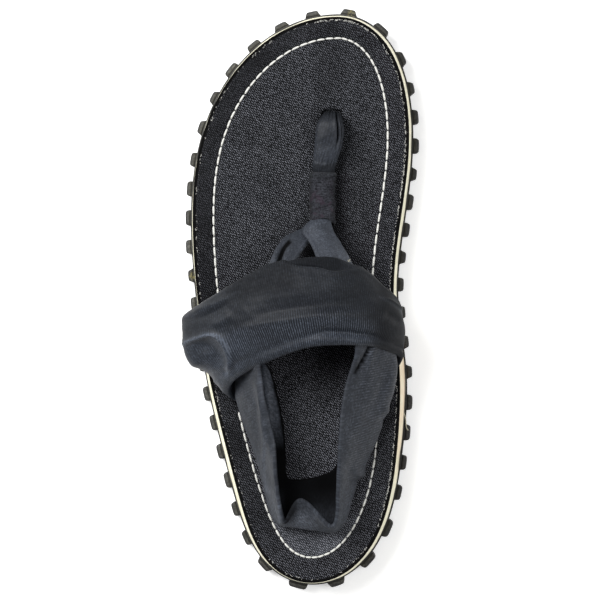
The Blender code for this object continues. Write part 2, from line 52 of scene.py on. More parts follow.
# ------------------------------------------------------------------ the sandal's sizes
SOLE_LENGTH = 265.0
HEEL_TIP_ACROSS, TOE_TIP_ACROSS = 5.5, 17.5
TREAD_DEPTH, RUBBER_SHEET, RUBBER_EDGE, FIT_GAP = 3.2, 3.0, 0.8, 0.3
LUG_STAND_OUT, LUG_TOP = 2.7, 7.3
HEEL_FOAM, FOREFOOT_FOAM, BOARD_THICKNESS = 13.5, 10.5, 3.0
TOE_SPRING, TOE_SPRING_START = 6.0, 188.0
HEEL_BEVEL, HEEL_BEVEL_START = 1.5, 16.0
SHEET_TOP = TREAD_DEPTH + RUBBER_SHEET

# along, outer fullness, inner fullness
FOOTBED_SECTIONS = (
    (0.0, 59.0, 60.0), (30.0, 51.0, 51.0), (65.0, 50.5, 43.0), (100.0, 55.0, 37.5),
    (135.0, 60.0, 32.0), (170.0, 66.5, 35.0), (205.0, 74.0, 43.0), (240.0, 80.0, 51.5),
    (265.0, 83.0, 58.5))
# along, outer, inner
WALL_FLARE = (
    (0.0, 2.4, 2.2), (30.0, 3.2, 2.0), (60.0, 3.2, 2.2), (90.0, 2.8, 2.8), (125.0, 1.9, 1.8),
    (165.0, 1.8, 1.6), (205.0, 1.6, 1.5), (240.0, 2.0, 1.8), (265.0, 2.4, 2.4))
# zone, first lug, pitch, how many, lug length
RIM_LUG_ZONES = (
    ("toe_outer", 11.3, 14.9, 6, 7.4), ("ball_outer", 101.0, 13.7, 6, 6.8),
    ("waist_outer", 184.0, 14.1, 8, 7.0), ("heel", 296.5, 16.5, 5, 8.8),
    ("waist_inner", 379.6, 14.2, 7, 7.0), ("ball_inner", 478.4, 13.3, 8, 6.8),
    ("toe_inner", 585.5, 15.15, 3, 7.6))
TREAD_PITCH, TREAD_BLOCK, TREAD_GROOVE, TREAD_FIRST, TREAD_LAST = 14.0, 8.6, 4.4, 19.0, 246.0
# name, across, along, width, length, turn in degrees
SLOTS = (
    ("outer_slot", -28.5, 95.0, 5.6, 25.0, -3.0),
    ("inner_slot", 38.0, 103.0, 5.6, 25.0, -2.0),
    ("toe_slot", 15.0, 219.4, 10.0, 5.8, 0.0))
# front across, along, lift / rear across, along, lift / swell
BAND_SECTIONS = (
    (-30.2, 106.5, -2.6, -29.2, 85.5, -2.6, 0.0), (-31.2, 107.5, 1.6, -30.2, 86.0, 1.6, 0.5),
    (-42.5, 115.6, 5.5, -32.2, 88.0, 4.5, 6.0), (-52.8, 123.2, 11.5, -33.0, 91.0, 9.5, 8.0),
    (-49.5, 126.8, 19.0, -31.4, 94.6, 15.0, 6.5), (-36.5, 134.8, 28.5, -24.0, 100.0, 23.0, 4.5),
    (-18.5, 144.5, 35.5, -9.5, 106.8, 31.5, 4.0), (0.5, 151.0, 38.0, 7.0, 112.0, 36.0, 4.0),
    (19.0, 151.0, 35.0, 22.5, 113.0, 34.5, 4.0), (33.0, 144.5, 27.5, 35.5, 112.0, 28.5, 4.0),
    (42.8, 135.5, 16.5, 43.5, 109.0, 18.0, 3.5), (45.3, 129.0, 8.0, 46.8, 105.0, 8.5, 2.2),
    (38.6, 115.5, 1.6, 39.4, 92.6, 1.6, 0.3), (37.6, 114.3, -2.6, 38.4, 92.0, -2.6, 0.0))
# edge across, along, lift / bend across, along, lift / rim across, along, lift
LOOP_SECTIONS = (
    (7.0, 184.0, 4.7, 10.6, 184.0, 4.9, 14.2, 184.0, 4.7),
    (7.1, 177.0, 4.8, 10.7, 177.0, 5.1, 14.3, 177.0, 4.9),
    (7.3, 170.5, 5.4, 10.9, 170.5, 6.2, 14.4, 170.5, 5.8),
    (0.8, 165.2, 7.4, 6.0, 166.4, 8.4, 11.0, 165.6, 7.8),
    (-6.5, 160.6, 12.0, -1.2, 161.0, 14.5, 4.2, 159.4, 13.8),
    (-11.6, 151.5, 21.0, -5.8, 151.6, 25.0, -1.0, 150.8, 25.0),
    (-19.0, 136.0, 20.0, -13.5, 138.0, 29.5, -5.0, 139.0, 33.5),
    (-25.5, 117.0, 7.0, -27.5, 116.0, 20.0, -15.5, 117.0, 33.0),
    (-16.5, 103.0, 3.2, -32.5, 101.0, 4.0, -17.5, 103.0, 28.0),
    (-12.0, 91.0, 2.4, -34.0, 87.0, 2.5, -16.0, 89.5, 26.0),
    (-8.6, 74.0, 2.2, -29.5, 73.0, 2.5, -13.6, 76.0, 24.5),
    (-7.5, 58.0, 2.2, -23.0, 57.5, 2.5, -10.6, 61.0, 23.0),
    (-6.8, 50.0, 2.2, -18.0, 42.0, 2.6, -9.6, 46.0, 20.0),
    (-3.5, 47.5, 2.2, -12.5, 27.0, 3.0, -6.0, 29.8, 14.5),
    (4.5, 48.0, 2.2, 3.0, 20.5, 4.0, 1.6, 40.0, 21.5),
    (12.0, 50.0, 2.2, 19.0, 23.0, 3.0, 15.2, 27.4, 13.0),
    (17.5, 54.0, 2.2, 27.5, 41.0, 2.8, 18.6, 44.0, 18.5),
    (22.0, 66.0, 2.2, 36.4, 58.5, 2.8, 19.5, 60.5, 23.5),
    (28.0, 79.0, 2.2, 43.5, 75.5, 3.5, 20.5, 76.0, 25.0),
    (34.0, 90.0, 2.6, 48.0, 90.5, 6.5, 23.5, 94.5, 26.5),
    (38.0, 104.0, 5.0, 48.5, 106.5, 13.0, 27.5, 107.5, 30.0),
    (38.0, 120.0, 13.0, 39.5, 121.0, 22.0, 25.0, 120.0, 34.0),
    (29.6, 138.0, 22.0, 25.0, 138.0, 29.5, 16.0, 138.0, 37.5),
    (23.8, 150.6, 25.0, 16.8, 151.5, 30.5, 9.9, 151.5, 28.5),
    (18.0, 160.4, 15.5, 11.6, 161.5, 19.5, 5.2, 160.5, 17.0),
    (14.4, 167.3, 11.0, 8.8, 168.6, 13.2, 2.9, 165.9, 11.4),
    (14.6, 171.0, 8.0, 11.0, 171.5, 8.8, 7.4, 171.0, 8.0),
    (14.3, 177.0, 6.5, 10.7, 177.0, 6.9, 7.1, 177.0, 6.6),
    (14.2, 184.0, 6.2, 10.6, 184.0, 6.5, 7.0, 184.0, 6.2))
# across, along, lift, half width, half height
POST_SECTIONS = (
    (15.0, 218.8, -2.6, 3.0, 2.0), (15.0, 219.0, 1.0, 3.4, 2.4), (15.0, 218.3, 4.2, 4.6, 2.9),
    (14.9, 216.2, 6.5, 5.7, 3.4), (14.5, 212.6, 7.2, 6.7, 3.5), (13.9, 207.5, 6.9, 6.5, 3.2),
    (13.0, 202.5, 6.5, 6.0, 2.9), (12.1, 198.2, 6.2, 5.6, 2.6), (11.5, 195.1, 5.9, 5.35, 2.5),
    (11.2, 192.9, 5.75, 5.1, 2.4), (11.0, 190.4, 5.65, 4.0, 1.8), (10.8, 187.0, 5.5, 3.8, 1.7))
WRAP_SECTIONS = (
    (11.0, 192.5, 5.75, 5.75, 4.0), (10.9, 190.6, 5.65, 6.05, 4.4), (10.5, 184.5, 5.6, 5.9, 4.35),
    (10.6, 178.0, 5.7, 5.9, 4.3), (10.9, 171.6, 6.2, 6.0, 4.6), (11.1, 167.5, 6.9, 6.2, 5.3))


# ------------------------------------------------------------------ curves
def natural_spline(knots, values):
    """Smooth curve through the rows of a table; takes and gives arrays."""
    x, y = np.asarray(knots, float), np.asarray(values, float)
    n, h = len(x), np.diff(x)
    a, b = np.zeros((n, n)), np.zeros(n)
    a[0, 0] = a[-1, -1] = 1.0
    for i in range(1, n - 1):
        a[i, i - 1], a[i, i], a[i, i + 1] = h[i - 1], 2 * (h[i - 1] + h[i]), h[i]
        b[i] = 6 * ((y[i + 1] - y[i]) / h[i] - (y[i] - y[i - 1]) / h[i - 1])
    m = np.linalg.solve(a, b)

    def at(t):
        t = np.asarray(t, float)
        i = np.clip(np.searchsorted(x, t) - 1, 0, n - 2)
        u, v, k = x[i + 1] - t, t - x[i], h[i]
        return (m[i] * u ** 3 / (6 * k) + m[i + 1] * v ** 3 / (6 * k)
                + (y[i] / k - m[i] * k / 6) * u + (y[i + 1] / k - m[i + 1] * k / 6) * v)
    return at


def by_spacing(table, first, last):
    rows = np.array([row[first:last] for row in table], float)
    triples = rows.reshape(len(rows), -1, 3) if (last - first) % 3 == 0 else rows[:, None, :3]
    step = np.sqrt((np.diff(triples, axis=0) ** 2).sum(axis=2)).mean(axis=1)
    run = np.concatenate([[0.0], np.cumsum(np.sqrt(np.maximum(step, 1.0)))])
    run /= run[-1]
    return [natural_spline(run, rows[:, c]) for c in range(rows.shape[1])]


def column(table, key, value):
    return natural_spline([r[key] for r in table], [r[value] for r in table])


def smooth(t, lo=0.0, hi=1.0):
    t = np.clip((np.asarray(t, float) - lo) / (hi - lo), 0.0, 1.0)
    return t * t * (3 - 2 * t)


def wobble(p, size, seed, dims=3):
    """Gentle unevenness from -1 to 1 that changes over about size millimetres."""
    r = np.random.default_rng(seed)
    out = 0.0
    for _ in range(7):
        w = r.normal(size=dims)
        w *= 2 * math.pi / (size * r.uniform(0.7, 1.8)) / np.linalg.norm(w)
        out = out + np.sin(np.asarray(p)[..., :dims] @ w + r.uniform(0, 2 * math.pi))
    return out / 3.2


# ------------------------------------------------------------------ the sole's outline
outer_full, inner_full = column(FOOTBED_SECTIONS, 0, 1), column(FOOTBED_SECTIONS, 0, 2)
outer_flare, inner_flare = column(WALL_FLARE, 0, 1), column(WALL_FLARE, 0, 2)


def outline_at(tau):
    """Footbed outline: tau from 0 at the heel up the outer side to pi at the toe and
    down the inner side to 2 pi."""
    tau = np.mod(tau, 2 * math.pi)
    along = SOLE_LENGTH * (1 - np.cos(tau)) / 2
    side = np.where(tau <= math.pi, -1.0, 1.0)
    full = np.where(side < 0, outer_full(along), inner_full(along))
    middle = HEEL_TIP_ACROSS + (TOE_TIP_ACROSS - HEEL_TIP_ACROSS) * along / SOLE_LENGTH
    return np.stack([middle - np.sin(tau) * full, along], -1)


def outward_at(tau):
    d = outline_at(tau + 2e-3) - outline_at(tau - 2e-3)
    d /= np.linalg.norm(d, axis=-1, keepdims=True)
    return np.stack([-d[..., 1], d[..., 0]], -1)


def flare_at(tau):
    along = outline_at(tau)[..., 1]
    w = smooth(0.5 - 2.2 * np.sin(tau))
    return outer_flare(along) * (1 - w) + inner_flare(along) * w


_t = np.linspace(0, 2 * math.pi, 4001)
_p = outline_at(_t)
_walk = np.concatenate([[0.0], np.cumsum(np.hypot(*np.diff(_p, axis=0).T))])
ROUND = _walk[-1]                       # the way round the footbed
HALF = float(np.interp(math.pi, _t, _walk))


def tau_of(walk):
    return np.interp(np.mod(walk, ROUND), _walk, _t)


LOOP = 720
TAU = tau_of(np.arange(LOOP) * ROUND / LOOP)
EDGE, OUT, FLARE = outline_at(TAU), outward_at(TAU), flare_at(TAU)


def ring(share=0.0, extra=0.0):
    return EDGE + OUT * (share * FLARE + extra)[:, None]


def ground(s):
    s = np.clip(s, 0.0, SOLE_LENGTH)
    toe = TOE_SPRING * (np.maximum(s - TOE_SPRING_START, 0) / (SOLE_LENGTH - TOE_SPRING_START)) ** 2
    heel = HEEL_BEVEL * (np.maximum(HEEL_BEVEL_START - s, 0) / HEEL_BEVEL_START) ** 2
    return toe + heel


def foam(s):
    return HEEL_FOAM + (FOREFOOT_FOAM - HEEL_FOAM) * smooth(s, 60.0, 180.0)


def foam_foot(s):
    return ground(s) + SHEET_TOP + FIT_GAP


def foam_top(s):
    return foam_foot(s) + foam(np.clip(s, 0.0, SOLE_LENGTH))


def board_foot(s):
    return foam_top(s) + FIT_GAP


def board_top(s):
    return board_foot(s) + BOARD_THICKNESS


_lo, _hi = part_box("footbed")
_wide = ring(0.0, 0.2)
SHIFT = np.array([_lo.x * 1000 - _wide[:, 0].min(), _lo.y * 1000 - _wide[:, 1].min(), 0.0])


# ------------------------------------------------------------------ meshes
def make(name, points, faces, mat, smooth_shade=True, extra=None, sharp=None):
    """A mesh from points in millimetres of the drawing frame. extra holds named
    values for each point."""
    mesh = bpy.data.meshes.new(name)
    points = (np.asarray(points, float).reshape(-1, 3) + SHIFT) * 0.001
    mesh.from_pydata(points.tolist(), [], [tuple(int(i) for i in f) for f in faces])
    for key, value in (extra or {}).items():
        value = np.asarray(value, np.float32)
        if value.ndim == 1:
            mesh.attributes.new(key, "FLOAT", "POINT").data.foreach_set("value", value)
        else:
            mesh.attributes.new(key, "FLOAT_VECTOR", "POINT").data.foreach_set("vector", value.ravel())
    mesh.materials.append(mat)
    if smooth_shade:
        mesh.shade_smooth()
        if sharp is not None:
            mesh.set_sharp_from_angle(angle=math.radians(sharp))
    mesh.validate()
    obj = bpy.data.objects.new(name, mesh)
    bpy.context.scene.collection.objects.link(obj)
    return obj


class Heap:
    """Collects many small closed forms into one mesh."""

    def __init__(self):
        self.points, self.faces, self.extra, self.n = [], [], {}, 0

    def add(self, points, faces, **extra):
        points = np.asarray(points, float).reshape(-1, 3)
        self.points.append(points)
        self.faces += [tuple(self.n + i for i in f) for f in faces]
        for key, value in extra.items():
            value = np.asarray(value, float)
            if value.ndim == 0 or (value.ndim == 1 and len(value) != len(points)):
                value = np.broadcast_to(value, (len(points),) + value.shape)
            self.extra.setdefault(key, []).append(value)
        self.n += len(points)

    def make(self, name, mat, **kw):
        extra = {k: np.concatenate(v) for k, v in self.extra.items()}
        return make(name, np.concatenate(self.points), self.faces, mat, extra=extra, **kw)


def strip_faces(rows, cols, closed_rows=False, closed_cols=False, base=0, flip=False):
    """Quads between the points of a grid."""
    faces = []
    for i in range(rows if closed_rows else rows - 1):
        for j in range(cols if closed_cols else cols - 1):
            a, b = i, (i + 1) % rows
            c, d = j, (j + 1) % cols
            q = (base + a * cols + c, base + a * cols + d, base + b * cols + d, base + b * cols + c)
            faces.append(q[::-1] if flip else q)
    return faces


def inside_polygon(pts, poly):
    x, y = pts[:, 0], pts[:, 1]
    hit = np.zeros(len(pts), bool)
    px, py = poly[:, 0], poly[:, 1]
    qx, qy = np.roll(px, -1), np.roll(py, -1)
    for ax, ay, bx, by in zip(px, py, qx, qy):
        cross = (ay > y) != (by > y)
        if ay != by:
            hit ^= cross & (x < (bx - ax) * (y - ay) / (by - ay) + ax)
    return hit


def fill(loops, inner_points):
    """Triangles over the area inside the first loop and outside the others."""
    pts, edges = [], []
    for loop in loops:
        base = len(pts)
        pts += [tuple(p) for p in loop]
        edges += [(base + i, base + (i + 1) % len(loop)) for i in range(len(loop))]
    pts += [tuple(p) for p in inner_points]
    out = geometry.delaunay_2d_cdt([Vector(p) for p in pts], edges, [], 0, 1e-5)
    co = np.array([tuple(p) for p in out[0]])
    tri = np.array([tuple(f) for f in out[2] if len(f) == 3])
    centre = co[tri].mean(axis=1)
    keep = inside_polygon(centre, np.asarray(loops[0]))
    for loop in loops[1:]:
        keep &= ~inside_polygon(centre, np.asarray(loop))
    tri = tri[keep]
    a, b, c = co[tri[:, 0]], co[tri[:, 1]], co[tri[:, 2]]
    area = (b[:, 0] - a[:, 0]) * (c[:, 1] - a[:, 1]) - (b[:, 1] - a[:, 1]) * (c[:, 0] - a[:, 0])
    tri[area < 0] = tri[area < 0][:, ::-1]
    return co, tri


def hexes(poly, pitch, margin=0.0):
    lo, hi = poly.min(0), poly.max(0)
    pts = []
    for r, y in enumerate(np.arange(lo[1], hi[1], pitch * 0.866)):
        xs = np.arange(lo[0] + (pitch / 2 if r % 2 else 0), hi[0], pitch)
        pts.append(np.stack([xs, np.full_like(xs, y)], -1))
    pts = np.concatenate(pts)
    return pts[inside_polygon(pts, poly)]


def tube(path, radius, sides=6, closed_ends=True):
    """A thin round thread along a path of points."""
    path = np.asarray(path, float)
    radius = np.broadcast_to(radius, len(path))
    tangent = np.gradient(path, axis=0)
    tangent /= np.linalg.norm(tangent, axis=1, keepdims=True) + 1e-12
    up = np.array([0.0, 0.0, 1.0])
    side = np.cross(tangent, up)
    bad = np.linalg.norm(side, axis=1) < 0.1
    side[bad] = np.cross(tangent[bad], [1.0, 0.0, 0.0])
    side /= np.linalg.norm(side, axis=1, keepdims=True)
    over = np.cross(side, tangent)
    a = np.arange(sides) * 2 * math.pi / sides
    pts = (path[:, None] + side[:, None] * np.cos(a)[None, :, None] * radius[:, None, None]
           + over[:, None] * np.sin(a)[None, :, None] * radius[:, None, None])
    n = len(path)
    faces = strip_faces(n, sides, closed_cols=True)
    if closed_ends:
        faces.append(tuple(range(sides - 1, -1, -1))[::-1])
        faces.append(tuple((n - 1) * sides + i for i in range(sides))[::-1])
    return pts.reshape(-1, 3), faces


# ------------------------------------------------------------------ materials
class Look:
    """A Principled material with its nodes made in code. Lengths in its patterns are in mm."""

    def __init__(self, name, roughness=0.8, sheen=0.0, specular=0.3, sheen_roughness=0.5, diffuse_roughness=0.0):
        self.mat = bpy.data.materials.new(name)
        self.mat.use_nodes = True
        self.tree = self.mat.node_tree
        self.tree.nodes.clear()
        self.bsdf = self.tree.nodes.new("ShaderNodeBsdfPrincipled")
        out = self.tree.nodes.new("ShaderNodeOutputMaterial")
        self.tree.links.new(self.bsdf.outputs[0], out.inputs[0])
        self.bsdf.inputs["Roughness"].default_value = roughness
        self.bsdf.inputs["Sheen Weight"].default_value = sheen
        self.bsdf.inputs["Sheen Roughness"].default_value = sheen_roughness
        self.bsdf.inputs["Specular IOR Level"].default_value = specular
        self.bsdf.inputs["Diffuse Roughness"].default_value = diffuse_roughness

    def put(self, socket, value):
        if isinstance(value, bpy.types.NodeSocket):
            self.tree.links.new(value, socket)
        elif isinstance(value, (tuple, list)) and len(value) == 3 and socket.type == "RGBA":
            socket.default_value = (*value, 1.0)
        else:
            socket.default_value = value

    def math(self, kind, *args, clamp=False):
        n = self.tree.nodes.new("ShaderNodeMath")
        n.operation = kind
        n.use_clamp = clamp
        for s, v in zip(n.inputs, args):
            self.put(s, v)
        return n.outputs[0]

    def add(self, a, b):
        return self.math("ADD", a, b)

    def mul(self, a, b):
        return self.math("MULTIPLY", a, b)

    def lerp(self, f, a, b):
        n = self.tree.nodes.new("ShaderNodeMix")
        n.data_type = "FLOAT"
        self.put(n.inputs[0], f)
        self.put(n.inputs[2], a)
        self.put(n.inputs[3], b)
        return n.outputs[0]

    def mix(self, f, a, b, kind="MIX"):
        n = self.tree.nodes.new("ShaderNodeMix")
        n.data_type = "RGBA"
        n.blend_type = kind
        n.clamp_factor = True
        self.put(n.inputs[0], f)
        self.put(n.inputs[6], a)
        self.put(n.inputs[7], b)
        return n.outputs[2]

    def span(self, v, lo, hi, to_lo=0.0, to_hi=1.0):
        n = self.tree.nodes.new("ShaderNodeMapRange")
        n.interpolation_type = "SMOOTHSTEP"
        for s, x in zip(n.inputs, (v, lo, hi, to_lo, to_hi)):
            self.put(s, x)
        return n.outputs[0]

    def object_mm(self):
        """The place on the sandal, in millimetres of the row frame."""
        c = self.tree.nodes.new("ShaderNodeTexCoord").outputs["Object"]
        n = self.tree.nodes.new("ShaderNodeVectorMath")
        n.operation = "SCALE"
        self.put(n.inputs[0], c)
        n.inputs["Scale"].default_value = 1000.0
        return n.outputs[0]

    def attribute(self, name, kind="Vector"):
        n = self.tree.nodes.new("ShaderNodeAttribute")
        n.attribute_name = name
        return n.outputs[kind]

    def split(self, v):
        n = self.tree.nodes.new("ShaderNodeSeparateXYZ")
        self.put(n.inputs[0], v)
        return n.outputs[0], n.outputs[1], n.outputs[2]

    def join(self, x, y, z=0.0):
        n = self.tree.nodes.new("ShaderNodeCombineXYZ")
        for s, v in zip(n.inputs, (x, y, z)):
            self.put(s, v)
        return n.outputs[0]

    def noise(self, v, size, detail=2.0, rough=0.5, seed=0.0):
        """Cloudy value from 0 to 1 over about size mm."""
        n = self.tree.nodes.new("ShaderNodeTexNoise")
        n.noise_dimensions = "4D" if seed else "3D"
        self.put(n.inputs["Vector"], v)
        if seed:
            n.inputs["W"].default_value = seed
        n.inputs["Scale"].default_value = 1.0 / size
        n.inputs["Detail"].default_value = detail
        n.inputs["Roughness"].default_value = rough
        return n.outputs[0]

    def white(self, v):
        n = self.tree.nodes.new("ShaderNodeTexWhiteNoise")
        n.noise_dimensions = "3D"
        self.put(n.inputs[0], v)
        return n.outputs[0]

    def cells(self, v, size, feature="F1"):
        n = self.tree.nodes.new("ShaderNodeTexVoronoi")
        n.feature = feature
        self.put(n.inputs["Vector"], v)
        n.inputs["Scale"].default_value = 1.0 / size
        return n.outputs[0]

    def bump(self, height, distance_mm, strength=1.0, under=None):
        n = self.tree.nodes.new("ShaderNodeBump")
        n.inputs["Strength"].default_value = strength
        n.inputs["Distance"].default_value = distance_mm * 0.001
        self.put(n.inputs["Height"], height)
        if under is not None:
            self.put(n.inputs["Normal"], under)
        return n.outputs[0]

    def colour(self, c):
        self.put(self.bsdf.inputs["Base Color"], c)

    def rough(self, r):
        self.put(self.bsdf.inputs["Roughness"], r)

    def normal(self, n):
        self.put(self.bsdf.inputs["Normal"], n)


def canvas_look(name, dark, light, seed):
    """Coarse cotton canvas in a dark dye: pale thread crowns over dark gaps."""
    k = Look(name, roughness=0.88, specular=0.10)
    p = k.object_mm()
    x, y, z = k.split(p)
    drift = k.add(k.mul(k.add(k.noise(p, 14.0, 2.0, 0.5, seed), -0.5), 1.0), k.mul(k.add(k.noise(p, 2.2, 2.0, 0.6, seed + 1), -0.5), 0.80))
    xx, yy = k.add(x, drift), k.add(y, k.mul(drift, -0.8))
    # three sets of thread rows cross: about 0.8, 1.1 and 0.9 mm apart
    a = k.add(k.mul(xx, 0.874), k.mul(yy, 0.845))
    b = k.add(k.mul(xx, 0.217), k.mul(yy, 0.868))
    c = k.add(k.mul(xx, 1.036), k.mul(yy, 0.415))
    wave = [k.math("COSINE", k.mul(v, 2 * math.pi)) for v in (a, b, c)]
    each = k.white(k.join(k.math("ROUND", a), k.math("ROUND", b), seed))
    fine = k.noise(p, 0.3, 2.0, 0.7, seed + 4)
    lint = k.white(k.join(k.math("ROUND", k.mul(x, 1 / 0.47)), k.math("ROUND", k.mul(y, 1 / 0.47)), seed))
    high = k.add(k.add(k.mul(wave[0], 0.99), k.mul(wave[1], 0.55)), k.mul(wave[2], 0.79))
    # the rows lie evenly: no coarse bands where two sets fall together
    even = [k.math("COSINE", k.mul(k.math("SUBTRACT", a, v), 2 * math.pi)) for v in (c, b)]
    high = k.add(high, k.add(k.mul(even[0], -0.36), k.mul(even[1], -0.13)))
    high = k.add(k.add(high, k.mul(k.add(fine, -0.5), 2.38)), k.add(k.mul(k.add(each, -0.5), 0.11), k.mul(k.add(lint, -0.5), 1.10)))
    crown = k.mul(k.math("POWER", k.math("MAXIMUM", k.add(high, -0.36), 0.0), 0.965), 0.450)
    # shade and tone laid by place: a random duller cloud, and a border darker at the outer side; a soft painted shadow
    # strip runs under the band and on toward the toe, painted shade lies on the ground under the band between the arms,
    # and a painted shadow lies on the ground beside the wrap
    cloud = k.noise(p, 24.0, 3.0, 0.55, seed + 9)
    dull = k.span(cloud, 0.3, 0.75, 0.0, 0.25)
    border = k.lerp(k.span(y, -60.0, -20.0), k.span(x, 20.0, -20.0, 0.42, 0.50), k.span(x, 20.0, -20.0, 0.24, 0.50))
    border = k.mul(k.attribute("border", "Fac"), k.mul(border, k.span(y, -135.0, -100.0, 0.45, 1.0)))
    shadow_strip = k.mul(k.mul(k.span(x, 2.0, 11.0), k.span(x, 24.0, 15.0)), k.mul(k.span(y, -60.0, -30.0), k.span(y, 60.0, 90.0, 0.30, 0.20)))
    under = k.mul(k.mul(k.span(x, -3.0, 4.0), k.span(x, 19.0, 12.0)), k.mul(k.mul(k.span(y, 6.0, 14.0), k.span(y, 42.0, 30.0)), 0.72))
    wrap_shadow = k.mul(k.mul(k.span(x, 11.0, 20.0), k.span(x, 44.0, 30.0)), k.mul(k.mul(k.span(y, 0.0, 20.0), k.span(y, 92.0, 62.0)), 0.32))
    inside = k.math("SUBTRACT", 1.0, k.attribute("border", "Fac"))
    # painted light: the canvas toward the heel, and at its rear inside the stitches, is made paler
    heel = k.mul(k.span(y, -22.0, -60.0), k.add(0.23, k.mul(inside, 0.08)))
    rear = k.mul(k.mul(k.span(y, -99.0, -106.0), inside), k.add(k.span(x, -30.0, -2.0, 0.36, 0.46), k.span(x, 5.0, 14.0, 0.0, 0.80)))
    heel = k.add(heel, rear)
    shade = k.add(k.add(dull, border), k.add(k.add(shadow_strip, under), wrap_shadow))
    tone = k.mix(crown, dark, light)
    tone = k.mix(k.mul(heel, crown), tone, tuple(2.0 * v for v in light))
    tone = k.mix(k.math("MINIMUM", shade, 0.78), tone, dark)
    # painted light: at the rear inside the stitches the canvas is lifted toward a mid grey
    tone = k.mix(k.math("MINIMUM", k.mul(rear, 0.55), 0.4), tone, (0.056, 0.060, 0.070))
    # outside the cut canvas the edge is coloured black
    tone = k.mix(k.attribute("cut", "Fac"), tone, (0.0016, 0.0016, 0.0016))
    k.colour(tone)
    k.normal(k.bump(crown, 0.24, 0.6))
    return k


def jersey_look(name, dark, light, wale=0.78, lean=0.0, sheen=0.03, seed=1.0, speckle=0.6, slack=0.38):
    """Soft stretch jersey: fine ribs across the strap, plainer in some places; painted light makes it paler on lit
    slopes, ridges and folds, and painted shade makes it dull and dark down inside hollows, gaps and undersides."""
    k = Look(name, roughness=0.55, sheen=sheen, specular=0.24, sheen_roughness=0.4)
    c = k.attribute("cloth")
    u, v, w = k.split(c)
    p = k.object_mm()
    # painted light makes the cloth paler, and painted shade makes it dark, dull and less glossy, both laid by place
    painted_light = k.attribute("painted_light", "Fac")
    deep = k.attribute("deep", "Fac")
    ribbed = k.attribute("ribbed", "Fac")
    drift = k.noise(p, 9.0, 2.0, 0.5, seed)
    uu = k.add(k.add(u, k.mul(v, lean)), k.add(k.mul(drift, 1.1), k.mul(k.noise(p, 1.6, 2.0, 0.6, seed + 7), 0.55)))
    rib = k.add(k.mul(k.math("COSINE", k.mul(uu, 2 * math.pi / wale)), 0.5), 0.5)
    crown = k.math("POWER", rib, 2.3)
    cloth = k.lerp(ribbed, 0.36, crown)
    cloud = k.noise(p, 16.0, 3.0, 0.55, seed + 3)
    fuzz = k.noise(p, 0.62, 2.0, 0.7, seed + 5)
    loop = k.white(k.join(k.math("ROUND", k.mul(uu, 1 / (0.5 * wale))), k.math("ROUND", k.mul(v, 1 / 0.52)), seed))
    speck = k.add(k.add(1.0 - 0.9 * speckle, k.mul(fuzz, 1.1 * speckle)), k.mul(k.math("POWER", loop, 2.0), 1.05 * speckle))
    much = k.add(slack, k.mul(k.mul(painted_light, k.span(cloud, 0.25, 0.7, 0.45, 1.0)), 1.0 - slack))
    level = k.mul(k.mul(cloth, speck), much)
    tone = k.mix(k.math("MINIMUM", level, 1.0), dark, light)
    tone = k.mix(deep, tone, (0.0012, 0.0013, 0.0016))
    k.colour(tone)
    k.rough(k.add(k.span(cloud, 0.3, 0.8, 0.60, 0.50), k.mul(deep, 0.35)))
    k.put(k.bsdf.inputs["Specular IOR Level"], k.mul(0.24, k.math("SUBTRACT", 1.0, k.mul(deep, 0.65))))
    k.put(k.bsdf.inputs["Sheen Weight"], k.mul(sheen, k.math("SUBTRACT", 1.0, deep)))
    k.normal(k.bump(fuzz, 0.04, 0.5, k.bump(cloth, 0.10, 0.6)))
    return k


def knit_look(name):
    """Soft cuff knit, a dull mottled black with worn reddish patches."""
    k = Look(name, roughness=0.9, sheen=0.05, specular=0.15)
    u, v, w = k.split(k.attribute("cloth"))
    p = k.object_mm()
    wander = k.mul(k.add(k.noise(p, 2.4, 2.0, 0.6, 3.0), -0.5), 2.6)
    rib = k.add(k.mul(k.math("SINE", k.mul(k.add(v, wander), 2 * math.pi / 1.35)), 0.5), 0.5)
    loop = k.add(k.mul(k.math("SINE", k.mul(k.add(u, wander), 2 * math.pi / 0.95)), 0.5), 0.5)
    speck = k.noise(p, 0.7, 2.0, 0.7, 5.0)
    lines = k.mul(k.math("POWER", rib, 2.0), k.span(k.noise(p, 3.2, 2.0, 0.6, 21.0), 0.38, 0.62, 0.04, 0.36))
    cloth = k.add(k.add(lines, k.mul(loop, 0.10)), k.span(speck, 0.3, 0.7, 0.0, 0.80))
    tone = k.mix(cloth, (0.002, 0.002, 0.003), (0.0405, 0.0425, 0.0520))
    x, y, z = k.split(p)
    worn = k.mul(k.span(k.noise(p, 4.0, 2.0, 0.6, 8.0), 0.48, 0.64, 0.0, 0.56), k.mul(k.span(y, 52.5, 49.0, 0.15, 1.0), k.span(y, 29.5, 34.0, 0.1, 1.0)))
    tone = k.mix(worn, tone, (0.034, 0.022, 0.033))
    # painted shade: the wrap is darker toward its two sides
    tone = k.mix(k.span(x, 7.0, 5.2, 0.0, 0.50), tone, (0.003, 0.003, 0.004))
    tone = k.mix(k.span(x, 14.6, 16.4, 0.0, 0.22), tone, (0.003, 0.003, 0.004))
    tone = k.mix(k.span(y, 55.0, 58.5, 0.0, 0.25), tone, (0.012, 0.017, 0.017))
    k.colour(tone)
    k.normal(k.bump(speck, 0.10, 0.6, k.bump(cloth, 0.2, 0.6)))
    return k


